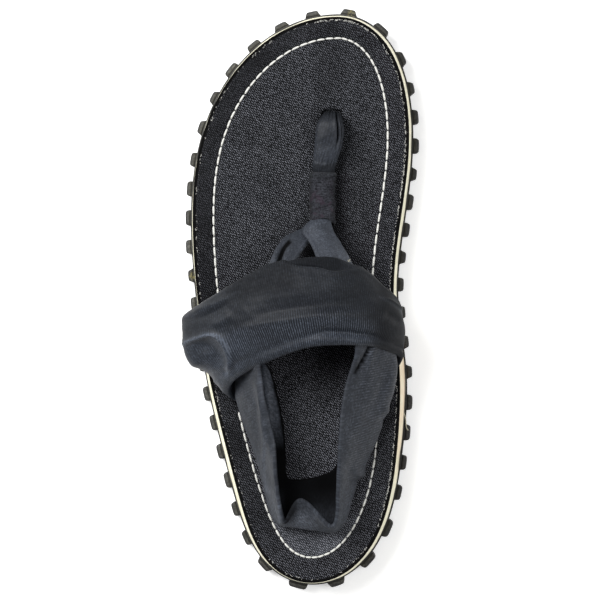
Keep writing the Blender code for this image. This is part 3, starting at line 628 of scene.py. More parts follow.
def rubber_look(name):
    """Old tyre-like rubber: near black, greyed and dusty on its faces."""
    k = Look(name, roughness=0.62, specular=0.35)
    p = k.object_mm()
    x, y, z = k.split(p)
    rubbed = k.attribute("rubbed", "Fac")
    grain = k.noise(p, 0.9, 3.0, 0.65, 2.0)
    cloud = k.noise(p, 7.0, 3.0, 0.6, 6.0)
    speck = k.cells(p, 0.8)
    dark = k.mix(k.span(cloud, 0.35, 0.7), (0.010, 0.0098, 0.009), (0.028, 0.027, 0.024))
    dusty = k.mix(k.span(grain, 0.35, 0.7), (0.050, 0.0490, 0.0450), (0.138, 0.136, 0.124))
    tone = k.mix(k.mul(rubbed, k.span(cloud, 0.2, 0.6, 0.55, 1.0)), dark, dusty)
    tone = k.mix(k.mul(k.span(speck, 0.22, 0.05), 0.3), tone, (0.17, 0.165, 0.15))
    # painted shade: darker along the inner side and round the heel, away from the light; each block is also a little
    # different at random
    each = k.noise(p, 14.0, 1.0, 0.5, 12.0)
    darker = k.add(k.mul(k.span(x, 22.0, 40.0), 0.46), k.add(k.mul(k.span(y, -40.0, -100.0), 0.25), k.span(each, 0.42, 0.58, 0.0, 0.22)))
    tone = k.mix(k.math("MINIMUM", darker, 0.80), tone, (0.008, 0.0078, 0.0072))
    # old glue on two of the blocks
    stain = k.span(k.noise(p, 0.9, 2.0, 0.6, 15.0), 0.46, 0.60)
    for gx, gy in ((-52.0, 11.4), (23.9, 136.0)):
        far = k.add(k.math("POWER", k.math("ABSOLUTE", k.add(x, -gx)), 2.0), k.math("POWER", k.math("ABSOLUTE", k.add(y, -gy)), 2.0))
        tone = k.mix(k.mul(k.span(far, 6.0, 0.8), k.mul(stain, 0.6)), tone, (0.24, 0.21, 0.08))
    k.colour(tone)
    k.rough(k.span(cloud, 0.3, 0.8, 0.55, 0.75))
    k.normal(k.bump(grain, 0.12, 0.55))
    return k


def foam_look(name):
    """Cream foam, cut on its wall, with glue marks, dust and a peach blush at the inner waist."""
    k = Look(name, roughness=0.7, specular=0.25)
    p = k.object_mm()
    x, y, z = k.split(p)
    pores = k.cells(p, 0.55)
    grain = k.noise(p, 1.3, 3.0, 0.6, 3.0)
    cloud = k.noise(p, 11.0, 3.0, 0.6, 5.0)
    tone = k.mix(k.span(cloud, 0.3, 0.7), (0.78, 0.74, 0.55), (0.86, 0.83, 0.66))
    side = k.span(x, 20.0, 40.0)
    waist = k.mul(side, k.mul(k.span(y, -92.0, -60.0), k.span(y, 4.0, -30.0)))
    tone = k.mix(k.mul(waist, k.span(k.noise(p, 9.0, 2.0, 0.5, 7.0), 0.25, 0.6, 0.25, 0.75)), tone, (0.80, 0.63, 0.45))
    streak = k.noise(k.join(k.mul(x, 0.3), k.mul(y, 0.3), k.mul(z, 2.2)), 1.6, 3.0, 0.65, 4.0)
    tone = k.mix(k.span(streak, 0.56, 0.74, 0.0, 0.5), tone, (0.50, 0.46, 0.36))
    dirt = k.mul(k.attribute("low", "Fac"), k.span(k.noise(p, 2.2, 3.0, 0.65, 9.0), 0.3, 0.7, 0.15, 1.0))
    tone = k.mix(k.mul(dirt, 0.75), tone, (0.16, 0.14, 0.11))
    grimy = k.mul(k.mul(k.span(x, 40.0, 46.0), k.span(k.attribute("low", "Fac"), 0.05, 0.45)),
                  k.mul(k.span(y, -84.0, -72.0), k.span(y, -34.0, -48.0)))
    tone = k.mix(k.mul(grimy, 0.92), tone, (0.030, 0.022, 0.014))
    k.colour(tone)
    k.normal(k.bump(pores, 0.05, 0.4, k.bump(k.add(grain, streak), 0.25, 0.5)))
    return k


def thread_look(name, tone, shade):
    k = Look(name, roughness=0.75, sheen=0.15, specular=0.25)
    u, v, w = k.split(k.attribute("cloth"))
    p = k.object_mm()
    ply = k.add(k.mul(k.math("SINE", k.add(k.mul(u, 2 * math.pi / 0.75), k.mul(v, 2.0))), 0.5), 0.5)
    t = k.mix(k.span(ply, 0.0, 0.8), shade, tone)
    t = k.mix(k.span(k.noise(p, 3.0, 2.0, 0.6, 2.0), 0.55, 0.8, 0.0, 0.5), t, shade)
    k.colour(t)
    k.normal(k.bump(ply, 0.12, 0.8))
    return k


def webbing_look(name):
    """Flat black synthetic webbing, smooth and a little glossy."""
    k = Look(name, roughness=0.38, specular=0.5)
    u, v, w = k.split(k.attribute("cloth"))
    p = k.object_mm()
    rib = k.add(k.mul(k.math("SINE", k.mul(v, 2 * math.pi / 1.1)), 0.5), 0.5)
    pick = k.add(k.mul(k.math("SINE", k.add(k.mul(u, 2 * math.pi / 0.7), k.mul(rib, 3.0))), 0.5), 0.5)
    k.colour(k.mix(k.mul(rib, pick), (0.006, 0.006, 0.007), (0.03, 0.03, 0.033)))
    k.rough(k.span(k.noise(p, 2.0, 2.0, 0.5, 2.0), 0.3, 0.7, 0.32, 0.5))
    k.normal(k.bump(k.add(rib, k.mul(pick, 0.5)), 0.15, 0.7))
    return k


CANVAS = canvas_look("footbed_canvas", (0.0020, 0.0021, 0.0026), (0.292, 0.303, 0.345), 2.0).mat
JERSEY = jersey_look("upper_jersey", (0.0010, 0.0016, 0.0030), (0.073, 0.086, 0.112), wale=1.08, speckle=0.80, slack=0.33).mat
KNIT = knit_look("wrap_knit").mat
RUBBER = rubber_look("outsole_rubber").mat
FOAM = foam_look("midsole_foam").mat
STITCH = thread_look("stitch_thread", (0.93, 0.93, 0.90), (0.55, 0.54, 0.48)).mat
FRAY = thread_look("frayed_fibre", (0.80, 0.79, 0.74), (0.36, 0.35, 0.33)).mat
LOOSE = thread_look("loose_thread", (0.80, 0.77, 0.62), (0.45, 0.42, 0.32)).mat
WEBBING = webbing_look("anchor_webbing").mat


# ------------------------------------------------------------------ the sole
def low_of(z, z0, z1):
    return 1.0 - smooth((z - z0) / (z1 - z0))


def sole_solid(name, rings, mat, inner_pitch=7.0, sharp=32.0, values=None):
    """A closed slab from rings of the outline, with a flat-laid top and bottom."""
    pts, faces, vals = [], [], []
    for r, (xy, z) in enumerate(rings):
        pts.append(np.column_stack([xy, z]))
    faces += strip_faces(len(rings), LOOP, closed_cols=True)
    pts = np.concatenate(pts)
    count = len(pts)
    faces = list(faces)
    for which, up in ((0, False), (-1, True)):
        xy, z = rings[which]
        co, tri = fill([xy], hexes(xy * 0.985 + xy.mean(0) * 0.015, inner_pitch))
        z_in = np.interp(co[:, 1], *height_run(rings[which]))
        extra_pts = np.column_stack([co[LOOP:], z_in[LOOP:]])
        index = np.concatenate([np.arange(LOOP) + (0 if which == 0 else (len(rings) - 1) * LOOP),
                                count + np.arange(len(extra_pts))])
        pts = np.concatenate([pts, extra_pts])
        count = len(pts)
        for t in tri:
            t = tuple(index[list(t)])
            faces.append(t if up else t[::-1])
    return pts, faces


def height_run(one):
    """A ring's height as a function of the distance along the sole."""
    xy, z = one
    order = np.argsort(xy[:, 1])
    return xy[order, 1], z[order]


def build_midsole():
    s = EDGE[:, 1]
    rings = []
    f0, f = foam_foot(s), foam(s)
    dents = wobble(np.column_stack([EDGE, np.zeros(LOOP)]), 16.0, 5)
    for share, extra, part in ((1.0, -0.25, 0.0), (1.0, 0.0, 0.03), (0.97, 0.05, 0.10), (0.86, 0.1, 0.22),
                               (0.72, 0.2, 0.36), (0.58, 0.28, 0.5), (0.45, 0.3, 0.62), (0.24, 0.45, 0.78),
                               (0.06, 0.62, 0.92), (0.0, 0.5, 0.97), (0.0, 0.1, 1.0)):
        push = 0.16 * dents * math.sin(math.pi * min(max(part, 0.02), 0.98)) ** 0.5
        rings.append((ring(share, extra + push), f0 + f * part))
    pts, faces = sole_solid("midsole", rings, FOAM)
    low = np.concatenate([low_of(np.full(LOOP, float(p)), 0.0, 0.42) for p in
                          (0.0, 0.03, 0.10, 0.22, 0.36, 0.5, 0.62, 0.78, 0.92, 0.97, 1.0)]
                         + [np.zeros(len(pts) - 11 * LOOP)])
    obj = make("midsole_foam_wall", pts, faces, FOAM, extra={"low": low}, sharp=40.0)
    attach(obj, "root")
    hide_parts("midsole")


def rim_lug(centre, out, half, reach, top, skew, seed):
    """One rounded lug on the rim, reaching from the floor up over the sheet's edge."""
    run = np.array([-out[1], out[0]])
    profile = np.array([
        # reach, height, how rubbed
        (-8.0, 0.0, 0.2), (0.0, 0.0, 0.3), (reach - 1.2, 0.0, 0.5), (reach - 0.55, 0.18, 0.8),
        (reach - 0.15, 0.8, 0.6), (reach, 2.6, 0.2), (reach - 0.02, top - 2.2, 0.2),
        (reach - 0.18, top - 0.9, 0.1), (reach - 0.55, top - 0.25, 0.05), (reach - 1.1, top, 0.8),
        (0.85, top + 0.12, 1.0), (0.45, top - 0.05, 0.7), (0.12, top - 0.42, 0.0),
        (-0.3, top - 0.2, 0.45), (-1.6, top - 0.3, 0.4), (-8.0, top - 2.0, 0.2)])
    r = np.random.default_rng(seed)
    cols = len(profile)
    t = np.array([-1.0, -0.985, -0.94, -0.86, -0.72, -0.4, 0.0, 0.4, 0.72, 0.86, 0.94, 0.985, 1.0])
    pts, rub = [], []
    for k in t:
        grow = (1 - abs(k) ** 7) ** 0.42
        a = half * k
        for (x, z, w) in profile:
            xx = -8.0 + (x + 8.0) * 1.0 if x < 0 else x * grow
            lean = skew * k * max(x, 0.0) * 0.16
            bump = 0.10 * math.sin(2.1 * k + seed) * (1 if z > 5 else 0)
            end = 0.30 * (1 - grow) * (1 if z > top - 1 else 0)
            p = centre + out * xx + run * (a * (1.0 - 0.05 * max(x, 0.0) / reach) + lean)
            pts.append((p[0], p[1], z + bump - end))
            rub.append(w * (0.35 + 0.65 * grow) * (0.75 + 0.35 * r.random()))
    pts = np.array(pts)
    pts[:, 2] += ground(pts[:, 1])
    faces = strip_faces(len(t), cols, closed_cols=True, flip=True)
    faces.append(tuple(range(cols)))
    faces.append(tuple((len(t) - 1) * cols + i for i in range(cols))[::-1])
    return pts, faces, np.array(rub)


def rounded_block(lo, hi, z0, z1, r=0.55):
    """A tread block with softened feet."""
    pts, faces = [], []
    steps = ((z1, 0.0), (z0 + r, 0.06), (z0 + r * 0.3, r * 0.35), (z0, r))
    corner = [(0, 0), (1, 0), (1, 1), (0, 1)]
    for z, inset in steps:
        for cx, cy in corner:
            for q in range(4):
                a = math.radians(180 + 90 * corner.index((cx, cy)) + 30 * q)
                x = (lo[0] + inset + 0.9) if cx == 0 else (hi[0] - inset - 0.9)
                y = (lo[1] + inset + 0.9) if cy == 0 else (hi[1] - inset - 0.9)
                pts.append((x + 0.9 * math.cos(a), y + 0.9 * math.sin(a), z))
    n = 16
    faces = strip_faces(len(steps), n, closed_cols=True, flip=True)
    faces.append(tuple(range(n)))
    faces.append(tuple((len(steps) - 1) * n + i for i in range(n))[::-1])
    pts = np.array(pts)
    pts[:, 2] += ground(pts[:, 1])
    return pts, faces


def half_breadth(along, side, inset):
    turn = math.acos(1 - 2 * along / SOLE_LENGTH)
    tau = turn if side < 0 else 2 * math.pi - turn
    return float(outline_at(np.array(tau))[0]) - side * inset


def build_outsole():
    heap = Heap()
    s = EDGE[:, 1]
    g = ground(s)
    rings = [(ring(1.0, RUBBER_EDGE - 0.6), g + TREAD_DEPTH), (ring(1.0, RUBBER_EDGE - 0.2), g + TREAD_DEPTH + 0.15),
             (ring(1.0, RUBBER_EDGE), g + TREAD_DEPTH + 0.6), (ring(1.0, RUBBER_EDGE), g + SHEET_TOP - 0.3),
             (ring(1.0, RUBBER_EDGE - 0.15), g + SHEET_TOP - 0.06), (ring(1.0, RUBBER_EDGE - 0.4), g + SHEET_TOP)]
    pts, faces = sole_solid("outsole", rings, RUBBER)
    heap.add(pts, faces, rubbed=np.full(len(pts), 0.12))
    count = 0
    for zone, first, pitch, many, length in RIM_LUG_ZONES:
        for k in range(many):
            # the zones are walked from the toe tip down the outer side
            walk = HALF - (first + pitch * k)
            tau = float(tau_of(walk))
            c = outline_at(np.array(tau))
            out = outward_at(np.array(tau))
            edge = c + out * (float(flare_at(np.array(tau))) + RUBBER_EDGE)
            r = np.random.default_rng(500 + count)
            p, f, rub = rim_lug(edge, out, length / 2 * r.uniform(0.97, 1.05), LUG_STAND_OUT + r.uniform(-0.15, 0.12),
                                LUG_TOP + r.uniform(-0.2, 0.2), r.choice([-1.0, 0.4, 1.0]), 500 + count)
            light = r.uniform(0.75, 1.1)
            heap.add(p, f, rubbed=rub * light)
            count += 1
    rows = int((TREAD_LAST - TREAD_FIRST) // TREAD_PITCH) + 1
    for r in range(rows):
        along = TREAD_FIRST + r * TREAD_PITCH
        reach = 10.5 + 6.0 * max(0.0, 1 - along / 40.0) + 6.0 * max(0.0, (along - 215.0) / 40.0)
        lo = max(half_breadth(min(max(a, 1.0), 264.0), -1, reach) for a in (along - 4.5, along + 4.5))
        hi = min(half_breadth(min(max(a, 1.0), 264.0), 1, reach) for a in (along - 4.5, along + 4.5))
        number = max(1, round((hi - lo + TREAD_GROOVE) / 20.0))
        wide = (hi - lo + TREAD_GROOVE) / number - TREAD_GROOVE
        for c in range(number):
            x = lo + c * (wide + TREAD_GROOVE)
            p, f = rounded_block((x, along - TREAD_BLOCK / 2), (x + wide, along + TREAD_BLOCK / 2), 0.0, TREAD_DEPTH + 0.4)
            heap.add(p, f, rubbed=np.where(p[:, 2] < 0.4 + ground(p[:, 1]), 0.9, 0.25))
    obj = heap.make("outsole_rubber_tread", RUBBER, sharp=38.0)
    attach(obj, "root")
    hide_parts("outsole")


# ------------------------------------------------------------------ the footbed
def stitch_inset(s):
    return 9.6 + 1.9 * (1 - smooth(s, 8.0, 60.0))


def slot_loop(name, grow=0.0):
    _, x, s, wide, length, turn = next(row for row in SLOTS if row[0] == name)
    a = np.arange(28) * 2 * math.pi / 28 + 0.05
    px = np.sign(np.cos(a)) * np.abs(np.cos(a)) ** 0.5 * (wide / 2 + grow)
    py = np.sign(np.sin(a)) * np.abs(np.sin(a)) ** (0.25 if length > 2 * wide else 0.5) * (length / 2 + grow)
    c, n = math.cos(math.radians(turn)), math.sin(math.radians(turn))
    return np.column_stack([x + px * c + py * n, s - px * n + py * c])


STITCH_WALK = 5.05


def nearest_inset(xy):
    """How far each point lies from the footbed's edge."""
    out = np.empty(len(xy))
    for a in range(0, len(xy), 4000):
        out[a:a + 4000] = np.sqrt(((xy[a:a + 4000, None] - EDGE[None]) ** 2).sum(-1)).min(1)
    return out


def build_footbed():
    s = EDGE[:, 1]
    q = stitch_inset(s)
    walk = np.arange(LOOP) * ROUND / LOOP
    holes = np.abs(np.mod(walk / STITCH_WALK, 1.0) - 0.5) * 2      # 1 at a needle hole
    zt, zf = board_top(s), board_foot(s)
    wall = [(ring(0.0, -0.2), zf), (ring(0.0, 0.35), zf + 0.1), (ring(0.0, 0.5), zf + 1.4), (ring(0.0, 0.42), zt - 0.65),
            (ring(0.0, 0.18), zt - 0.36), (ring(0.0, -0.3), zt - 0.26)]
    pts = np.concatenate([np.column_stack([xy, z]) for xy, z in wall])
    faces = strip_faces(len(wall), LOOP, closed_cols=True)
    slots = [slot_loop(r[0]) for r in SLOTS]
    grown = [slot_loop(r[0], 0.45) for r in SLOTS]
    border, border_z = [], []
    for d in (0.75, 1.05, 1.35, 2.0, 3.2, 4.6, 6.0, 7.2):
        xy = EDGE - OUT * d
        border.append(xy)
        border_z.append(board_top(xy[:, 1]) - 0.26 * (d < 1.1) + 0.16 * np.sin(math.pi * np.clip((d - 0.5) / (q - 1.4), 0, 1)))
    for e in (-1.7, -1.15, -0.8, -0.5, -0.22, 0.0, 0.22, 0.5, 0.8, 1.15, 1.8, 2.8):
        xy = EDGE - OUT * (q + e)[:, None]
        border.append(xy)
        side = 0.10 if e < 0 else 0.20
        border_z.append(board_top(xy[:, 1]) + side * (1 - math.exp(-(abs(e) / 1.0) ** 2)) - (0.42 + 0.22 * holes ** 6) * math.exp(-(e / 0.62) ** 2))
    bxy, bz = np.concatenate(border), np.concatenate(border_z)
    keep = np.ones(len(bxy), bool)
    for g in grown:
        keep &= ~inside_polygon(bxy, g)
    bxy, bz = bxy[keep], bz[keep]
    inner_edge = EDGE - OUT * (q + 4.2)[:, None]
    hx = hexes(inner_edge, 2.6)
    for g in grown:
        hx = hx[~inside_polygon(hx, g)]
    hz = board_top(hx[:, 1]) + 0.22 + 0.16 * wobble(hx, 46.0, 3, 2)
    co, tri = fill([wall[-1][0]] + slots, np.concatenate([bxy, hx]))
    # heights by place: the outline loop, the slots, then the border and the middle
    z = np.empty(len(co))
    z[:LOOP] = wall[-1][1]
    n_slots = sum(len(a) for a in slots)
    z[LOOP:LOOP + n_slots] = board_top(co[LOOP:LOOP + n_slots, 1]) - 0.12
    z[LOOP + n_slots:LOOP + n_slots + len(bz)] = bz
    z[LOOP + n_slots + len(bz):] = hz
    base = len(pts)
    index = np.concatenate([np.arange(LOOP) + (len(wall) - 1) * LOOP, base + np.arange(len(co) - LOOP)])
    pts = np.concatenate([pts, np.column_stack([co, z])[LOOP:]])
    faces += [tuple(index[list(t)]) for t in tri]
    at = base
    for a in slots:                          # the slots' walls and floors
        m = len(a)
        c = a.mean(0)
        low = np.column_stack([c + (a - c) * 0.985, board_foot(a[:, 1]) + 0.25])
        b2 = len(pts)
        pts = np.concatenate([pts, low])
        for i in range(m):
            j = (i + 1) % m
            faces.append((at + i, b2 + i, b2 + j, at + j)[::-1])
        faces.append(tuple(b2 + i for i in range(m)))
        at += m
    co, tri = fill([wall[0][0]], hexes(wall[0][0], 9.0))     # the underside
    b2 = len(pts)
    pts = np.concatenate([pts, np.column_stack([co[LOOP:], board_foot(co[LOOP:, 1])])])
    index = np.concatenate([np.arange(LOOP), b2 + np.arange(len(co) - LOOP)])
    faces += [tuple(index[list(t)])[::-1] for t in tri]
    near = nearest_inset(pts[:, :2])
    border = 1 - smooth(near, stitch_inset(pts[:, 1]) - 0.8, stitch_inset(pts[:, 1]) + 0.8)
    cut = 1 - smooth(near, 0.95, 1.35)
    obj = make("footbed_canvas_cover", pts, faces, CANVAS, extra={"border": border, "cut": cut}, sharp=50.0)
    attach(obj, "root")
    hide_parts("footbed")


def build_stitches():
    heap = Heap()
    many = int(round(ROUND / STITCH_WALK))
    grown = [slot_loop(r[0], 0.4) for r in SLOTS]
    t = np.linspace(-1, 1, 9)
    for k in range(many):
        r = np.random.default_rng(900 + k)
        mid = (k + 0.5) * ROUND / many + r.uniform(-0.12, 0.12)
        half = (ROUND / many) * 0.5 * r.uniform(0.80, 0.87)
        w = mid + t * half
        tau = tau_of(w)
        e, o = outline_at(tau), outward_at(tau)
        xy = e - o * stitch_inset(e[:, 1])[:, None] + o * (t * r.uniform(-0.09, 0.09))[:, None]
        if any(inside_polygon(xy, g).any() for g in grown):
            continue
        z = board_top(xy[:, 1]) + 0.06 + 0.26 * (1 - t ** 4) - 0.30 * t ** 8
        rad = 0.50 * np.sqrt(np.clip(1 - 0.72 * np.abs(t) ** 5, 0.05, 1)) * r.uniform(0.94, 1.05)
        p, f = tube(np.column_stack([xy, z]), rad, 8)
        a = np.repeat(t * half, 8)
        around = np.tile(np.arange(8) * math.pi / 4, 9)
        heap.add(p, f, cloth=np.column_stack([a, around, np.zeros(len(p))]))
    obj = heap.make("footbed_stitches", STITCH)
    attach(obj, "root")


def build_fray():
    """Loose cut fibres where the canvas ends."""
    heap = Heap()
    for k in range(1500):
        r = np.random.default_rng(3000 + k)
        w = r.uniform(0, ROUND)
        tau = tau_of(np.array([w]))
        e, o = outline_at(tau)[0], outward_at(tau)[0]
        dense = 0.5 + 0.5 * math.sin(w / 9.0) * math.sin(w / 31.0 + 1.0)
        much = 0.3 if e[1] < 26.0 else 1.0 if e[0] > 8.0 else 0.28
        if r.random() > (0.45 + 0.55 * dense) * much:
            continue
        run = np.array([-o[1], o[0]])
        start = e + o * r.uniform(-1.55, -0.95)
        a = r.uniform(-1.2, 1.2)
        direction = run * math.cos(a) * r.choice([-1, 1]) + o * math.sin(a) * 0.5
        n = 4
        length = r.uniform(0.35, 1.15)
        q = np.linspace(0, 1, n)[:, None]
        bend = r.uniform(-0.35, 0.35)
        xy = start + direction * q * length + run * bend * q ** 2
        z = float(board_top(e[1])) + r.uniform(-0.12, 0.10) + 0.22 * np.sin(q[:, 0] * 2.4) + 0.1
        p, f = tube(np.column_stack([xy, z]), np.linspace(0.085, 0.05, n) * r.uniform(0.8, 1.5), 4)
        heap.add(p, f, cloth=np.column_stack([np.repeat(q[:, 0] * length, 4), np.zeros(4 * n), np.full(4 * n, k)]))
    obj = heap.make("footbed_frayed_edge", FRAY)
    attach(obj, "root")


def build_loose_threads():
    """A loop of thread hanging out at the inner waist, and the frayed tip of the inner strand."""
    heap = Heap()
    rise = np.array((4.6, 3.4, 2.6, 2.1, 1.7, 1.5, 1.4, 1.3))
    loop = np.array(((47.2, 81.6), (48.3, 79.6), (49.1, 77.7), (49.55, 75.8), (49.7, 74.2), (49.75, 72.8), (50.1, 71.4), (50.8, 70.6)))
    t, fine = np.linspace(0, 1, len(loop)), np.linspace(0, 1, 40)
    x, y, up = (natural_spline(t, v)(fine) for v in (loop[:, 0], loop[:, 1], rise))
    z = ground(y) + SHEET_TOP + up
    p, f = tube(np.column_stack([x, y, z]), 0.24 * (1 + 0.15 * np.sin(fine * 40.0)), 8)
    heap.add(p, f, cloth=np.column_stack([np.repeat(fine * 13.0, 8), np.zeros(len(p)), np.zeros(len(p))]))
    for k in range(5):
        r = np.random.default_rng(4200 + k)
        q = np.linspace(0, 1, 5)
        x = 23.4 + r.uniform(-0.5, 0.4) + r.uniform(0.8, 1.9) * q
        y = 150.3 + r.uniform(-0.4, 0.5) + r.uniform(-0.5, 0.5) * q + r.uniform(-0.4, 0.4) * q ** 2
        z = float(board_top(150.0)) + 26.6 + r.uniform(-0.3, 0.5) + 0.4 * np.sin(q * 2.5)
        p, f = tube(np.column_stack([x, y, z]), np.linspace(0.075, 0.04, 5), 5)
        heap.add(p, f, cloth=np.column_stack([np.repeat(q * 1.5, 5), np.zeros(25), np.full(25, float(k))]))
    obj = heap.make("loose_threads", LOOSE)
    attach(obj, "root")


# ------------------------------------------------------------------ folds
def near_path(xy, path, samples=90):
    """How far each point lies to the left of a drawn line, how far past its ends, and
    where along it."""
    path = np.asarray(path, float)
    run = np.concatenate([[0.0], np.cumsum(np.hypot(*np.diff(path, axis=0).T))])
    total = run[-1]
    t = np.linspace(0, 1, samples)
    if len(path) > 2:
        line = np.stack([natural_spline(run / total, path[:, k])(t) for k in (0, 1)], -1)
    else:
        line = path[0] + (path[1] - path[0]) * t[:, None]
    tangent = np.gradient(line, axis=0)
    tangent /= np.linalg.norm(tangent, axis=1, keepdims=True)
    flat = xy.reshape(-1, 2)
    left, past, where = np.empty(len(flat)), np.empty(len(flat)), np.empty(len(flat))
    for a in range(0, len(flat), 20000):
        d = flat[a:a + 20000, None, :] - line[None]
        i = np.argmin((d ** 2).sum(-1), axis=1)
        di, ti = d[np.arange(len(i)), i], tangent[i]
        left[a:a + 20000] = ti[:, 0] * di[:, 1] - ti[:, 1] * di[:, 0]
        over = (ti * di).sum(-1)
        past[a:a + 20000] = np.where((i == 0) | (i == samples - 1), np.abs(over), 0.0)
        where[a:a + 20000] = t[i]
    shape = xy.shape[:-1]
    return left.reshape(shape), past.reshape(shape), where.reshape(shape)


def relief(xy, folds):
    """Height of the cloth over its plain form, from a table of folds. Each row: kind,
    height, width to the left, width to the right, fade at the start, fade at the end, line."""
    out = np.zeros(xy.shape[:-1])
    for kind, high, wl, wr, f0, f1, path in folds:
        left, past, t = near_path(xy, path)
        fade = smooth(t, -1e-6, f0) if f0 > 0 else 1.0
        fade = fade * (1 - smooth(t, 1 - f1, 1 + 1e-6)) if f1 > 0 else fade
        fade = fade * np.exp(-(past / (0.5 * (wl + wr))) ** 2)
        w = np.where(left > 0, wl, wr)
        if kind == "ridge":
            shape = np.exp(-(left / w) ** 2)
        elif kind == "crest":       # sharper top, longer feet
            shape = np.exp(-np.abs(left / w) ** 1.3)
        elif kind == "step":        # the left side stands higher and falls off behind
            shape = np.where(left > 0, np.exp(-(left / wl) ** 2), -0.45 * np.exp(-(left / wr) ** 2))
            shape = np.where(np.abs(left) < 0.3, (left + 0.3) / 0.6 * 1.45 - 0.45, shape)
        out += high * fade * shape
    return out


def strap_shell(mid, outer, inner, face, caps=5, bulge=1.0):
    """A closed strap round a grid of middle points: outer and inner are the distances to
    its two faces, and face is +1 or -1 for the side that the first one lies on."""
    nu, nv = mid.shape[:2]
    n = np.cross(np.gradient(mid, axis=0), np.gradient(mid, axis=1))
    n *= face / np.linalg.norm(n, axis=2, keepdims=True)
    top = mid + n * np.broadcast_to(outer, mid.shape[:2])[..., None]
    low = mid - n * np.broadcast_to(inner, mid.shape[:2])[..., None]
    cols = [top[:, j] for j in range(nv)]
    a = np.linspace(0, math.pi, caps + 2)[1:-1]

    def cap(j, k):
        c, half = (top[:, j] + low[:, j]) / 2, (top[:, j] - low[:, j]) / 2
        out = mid[:, j] - mid[:, k]
        out /= np.linalg.norm(out, axis=1, keepdims=True)
        size = np.linalg.norm(half, axis=1, keepdims=True) * bulge
        return [c + half * math.cos(q) + out * size * math.sin(q) for q in a]

    cols += cap(nv - 1, nv - 2)
    cols += [low[:, j] for j in range(nv - 1, -1, -1)]
    cols += cap(0, 1)[::-1]
    grid = np.stack(cols, axis=1)
    m = grid.shape[1]
    faces = strip_faces(nu, m, closed_cols=True)
    for i, flip in ((0, True), (nu - 1, False)):
        b = i * m
        for j in range(nv - 1):
            q = (b + j, b + j + 1, b + 2 * nv + caps - 2 - j, b + 2 * nv + caps - 1 - j)
            faces.append(q[::-1] if flip else q)
        q = tuple(b + k for k in range(nv - 1, nv + caps + 1))
        faces.append(q[::-1] if flip else q)
        q = tuple([b + k for k in range(2 * nv + caps - 1, m)] + [b])
        faces.append(q[::-1] if flip else q)
    across = np.concatenate([[0.0], np.cumsum(np.linalg.norm(np.diff(mid, axis=0), axis=2).mean(axis=1))])
    down = np.concatenate([np.zeros((nu, 1)), np.cumsum(np.linalg.norm(np.diff(mid, axis=1), axis=2), axis=1)], axis=1)
    down = down.mean(axis=0) * 0.7 + down * 0.3
    v_all = np.concatenate([down, np.repeat(down[:, -1:], caps, 1), down[:, ::-1], np.repeat(down[:, :1], caps, 1)], axis=1)
    u_all = np.broadcast_to(across[:, None], v_all.shape)
    side = np.zeros(m)
    side[nv + caps:2 * nv + caps] = 1.0
    cloth = np.stack([u_all, v_all, np.broadcast_to(side, v_all.shape)], -1)
    return grid.reshape(-1, 3), faces, cloth.reshape(-1, 3)


def upright(points, faces):
    """Turn a closed form's faces outward."""
    p = np.asarray(points, float).reshape(-1, 3)
    tri = []
    for f in faces:
        for k in range(1, len(f) - 1):
            tri.append((f[0], f[k], f[k + 1]))
    t = p[np.array(tri)]
    if np.einsum("ij,ij->i", t[:, 0], np.cross(t[:, 1], t[:, 2])).sum() < 0:
        return [tuple(f)[::-1] for f in faces]
    return faces


def lifted(p):
    """Table points, whose third number is the height above the footbed, in the drawing frame."""
    p = np.array(p, float)
    p[..., 2] += board_top(np.clip(p[..., 1], 0.0, SOLE_LENGTH))
    return p


# ------------------------------------------------------------------ the instep band
band_curves = by_spacing([row[:6] for row in BAND_SECTIONS], 0, 6)
_run = np.concatenate([[0.0], np.cumsum([
    math.sqrt(max(1.0, (math.dist(a[:3], b[:3]) + math.dist(a[3:6], b[3:6])) / 2))
    for a, b in zip(BAND_SECTIONS, BAND_SECTIONS[1:])])])
band_curves.append(natural_spline(_run / _run[-1], [row[6] for row in BAND_SECTIONS]))

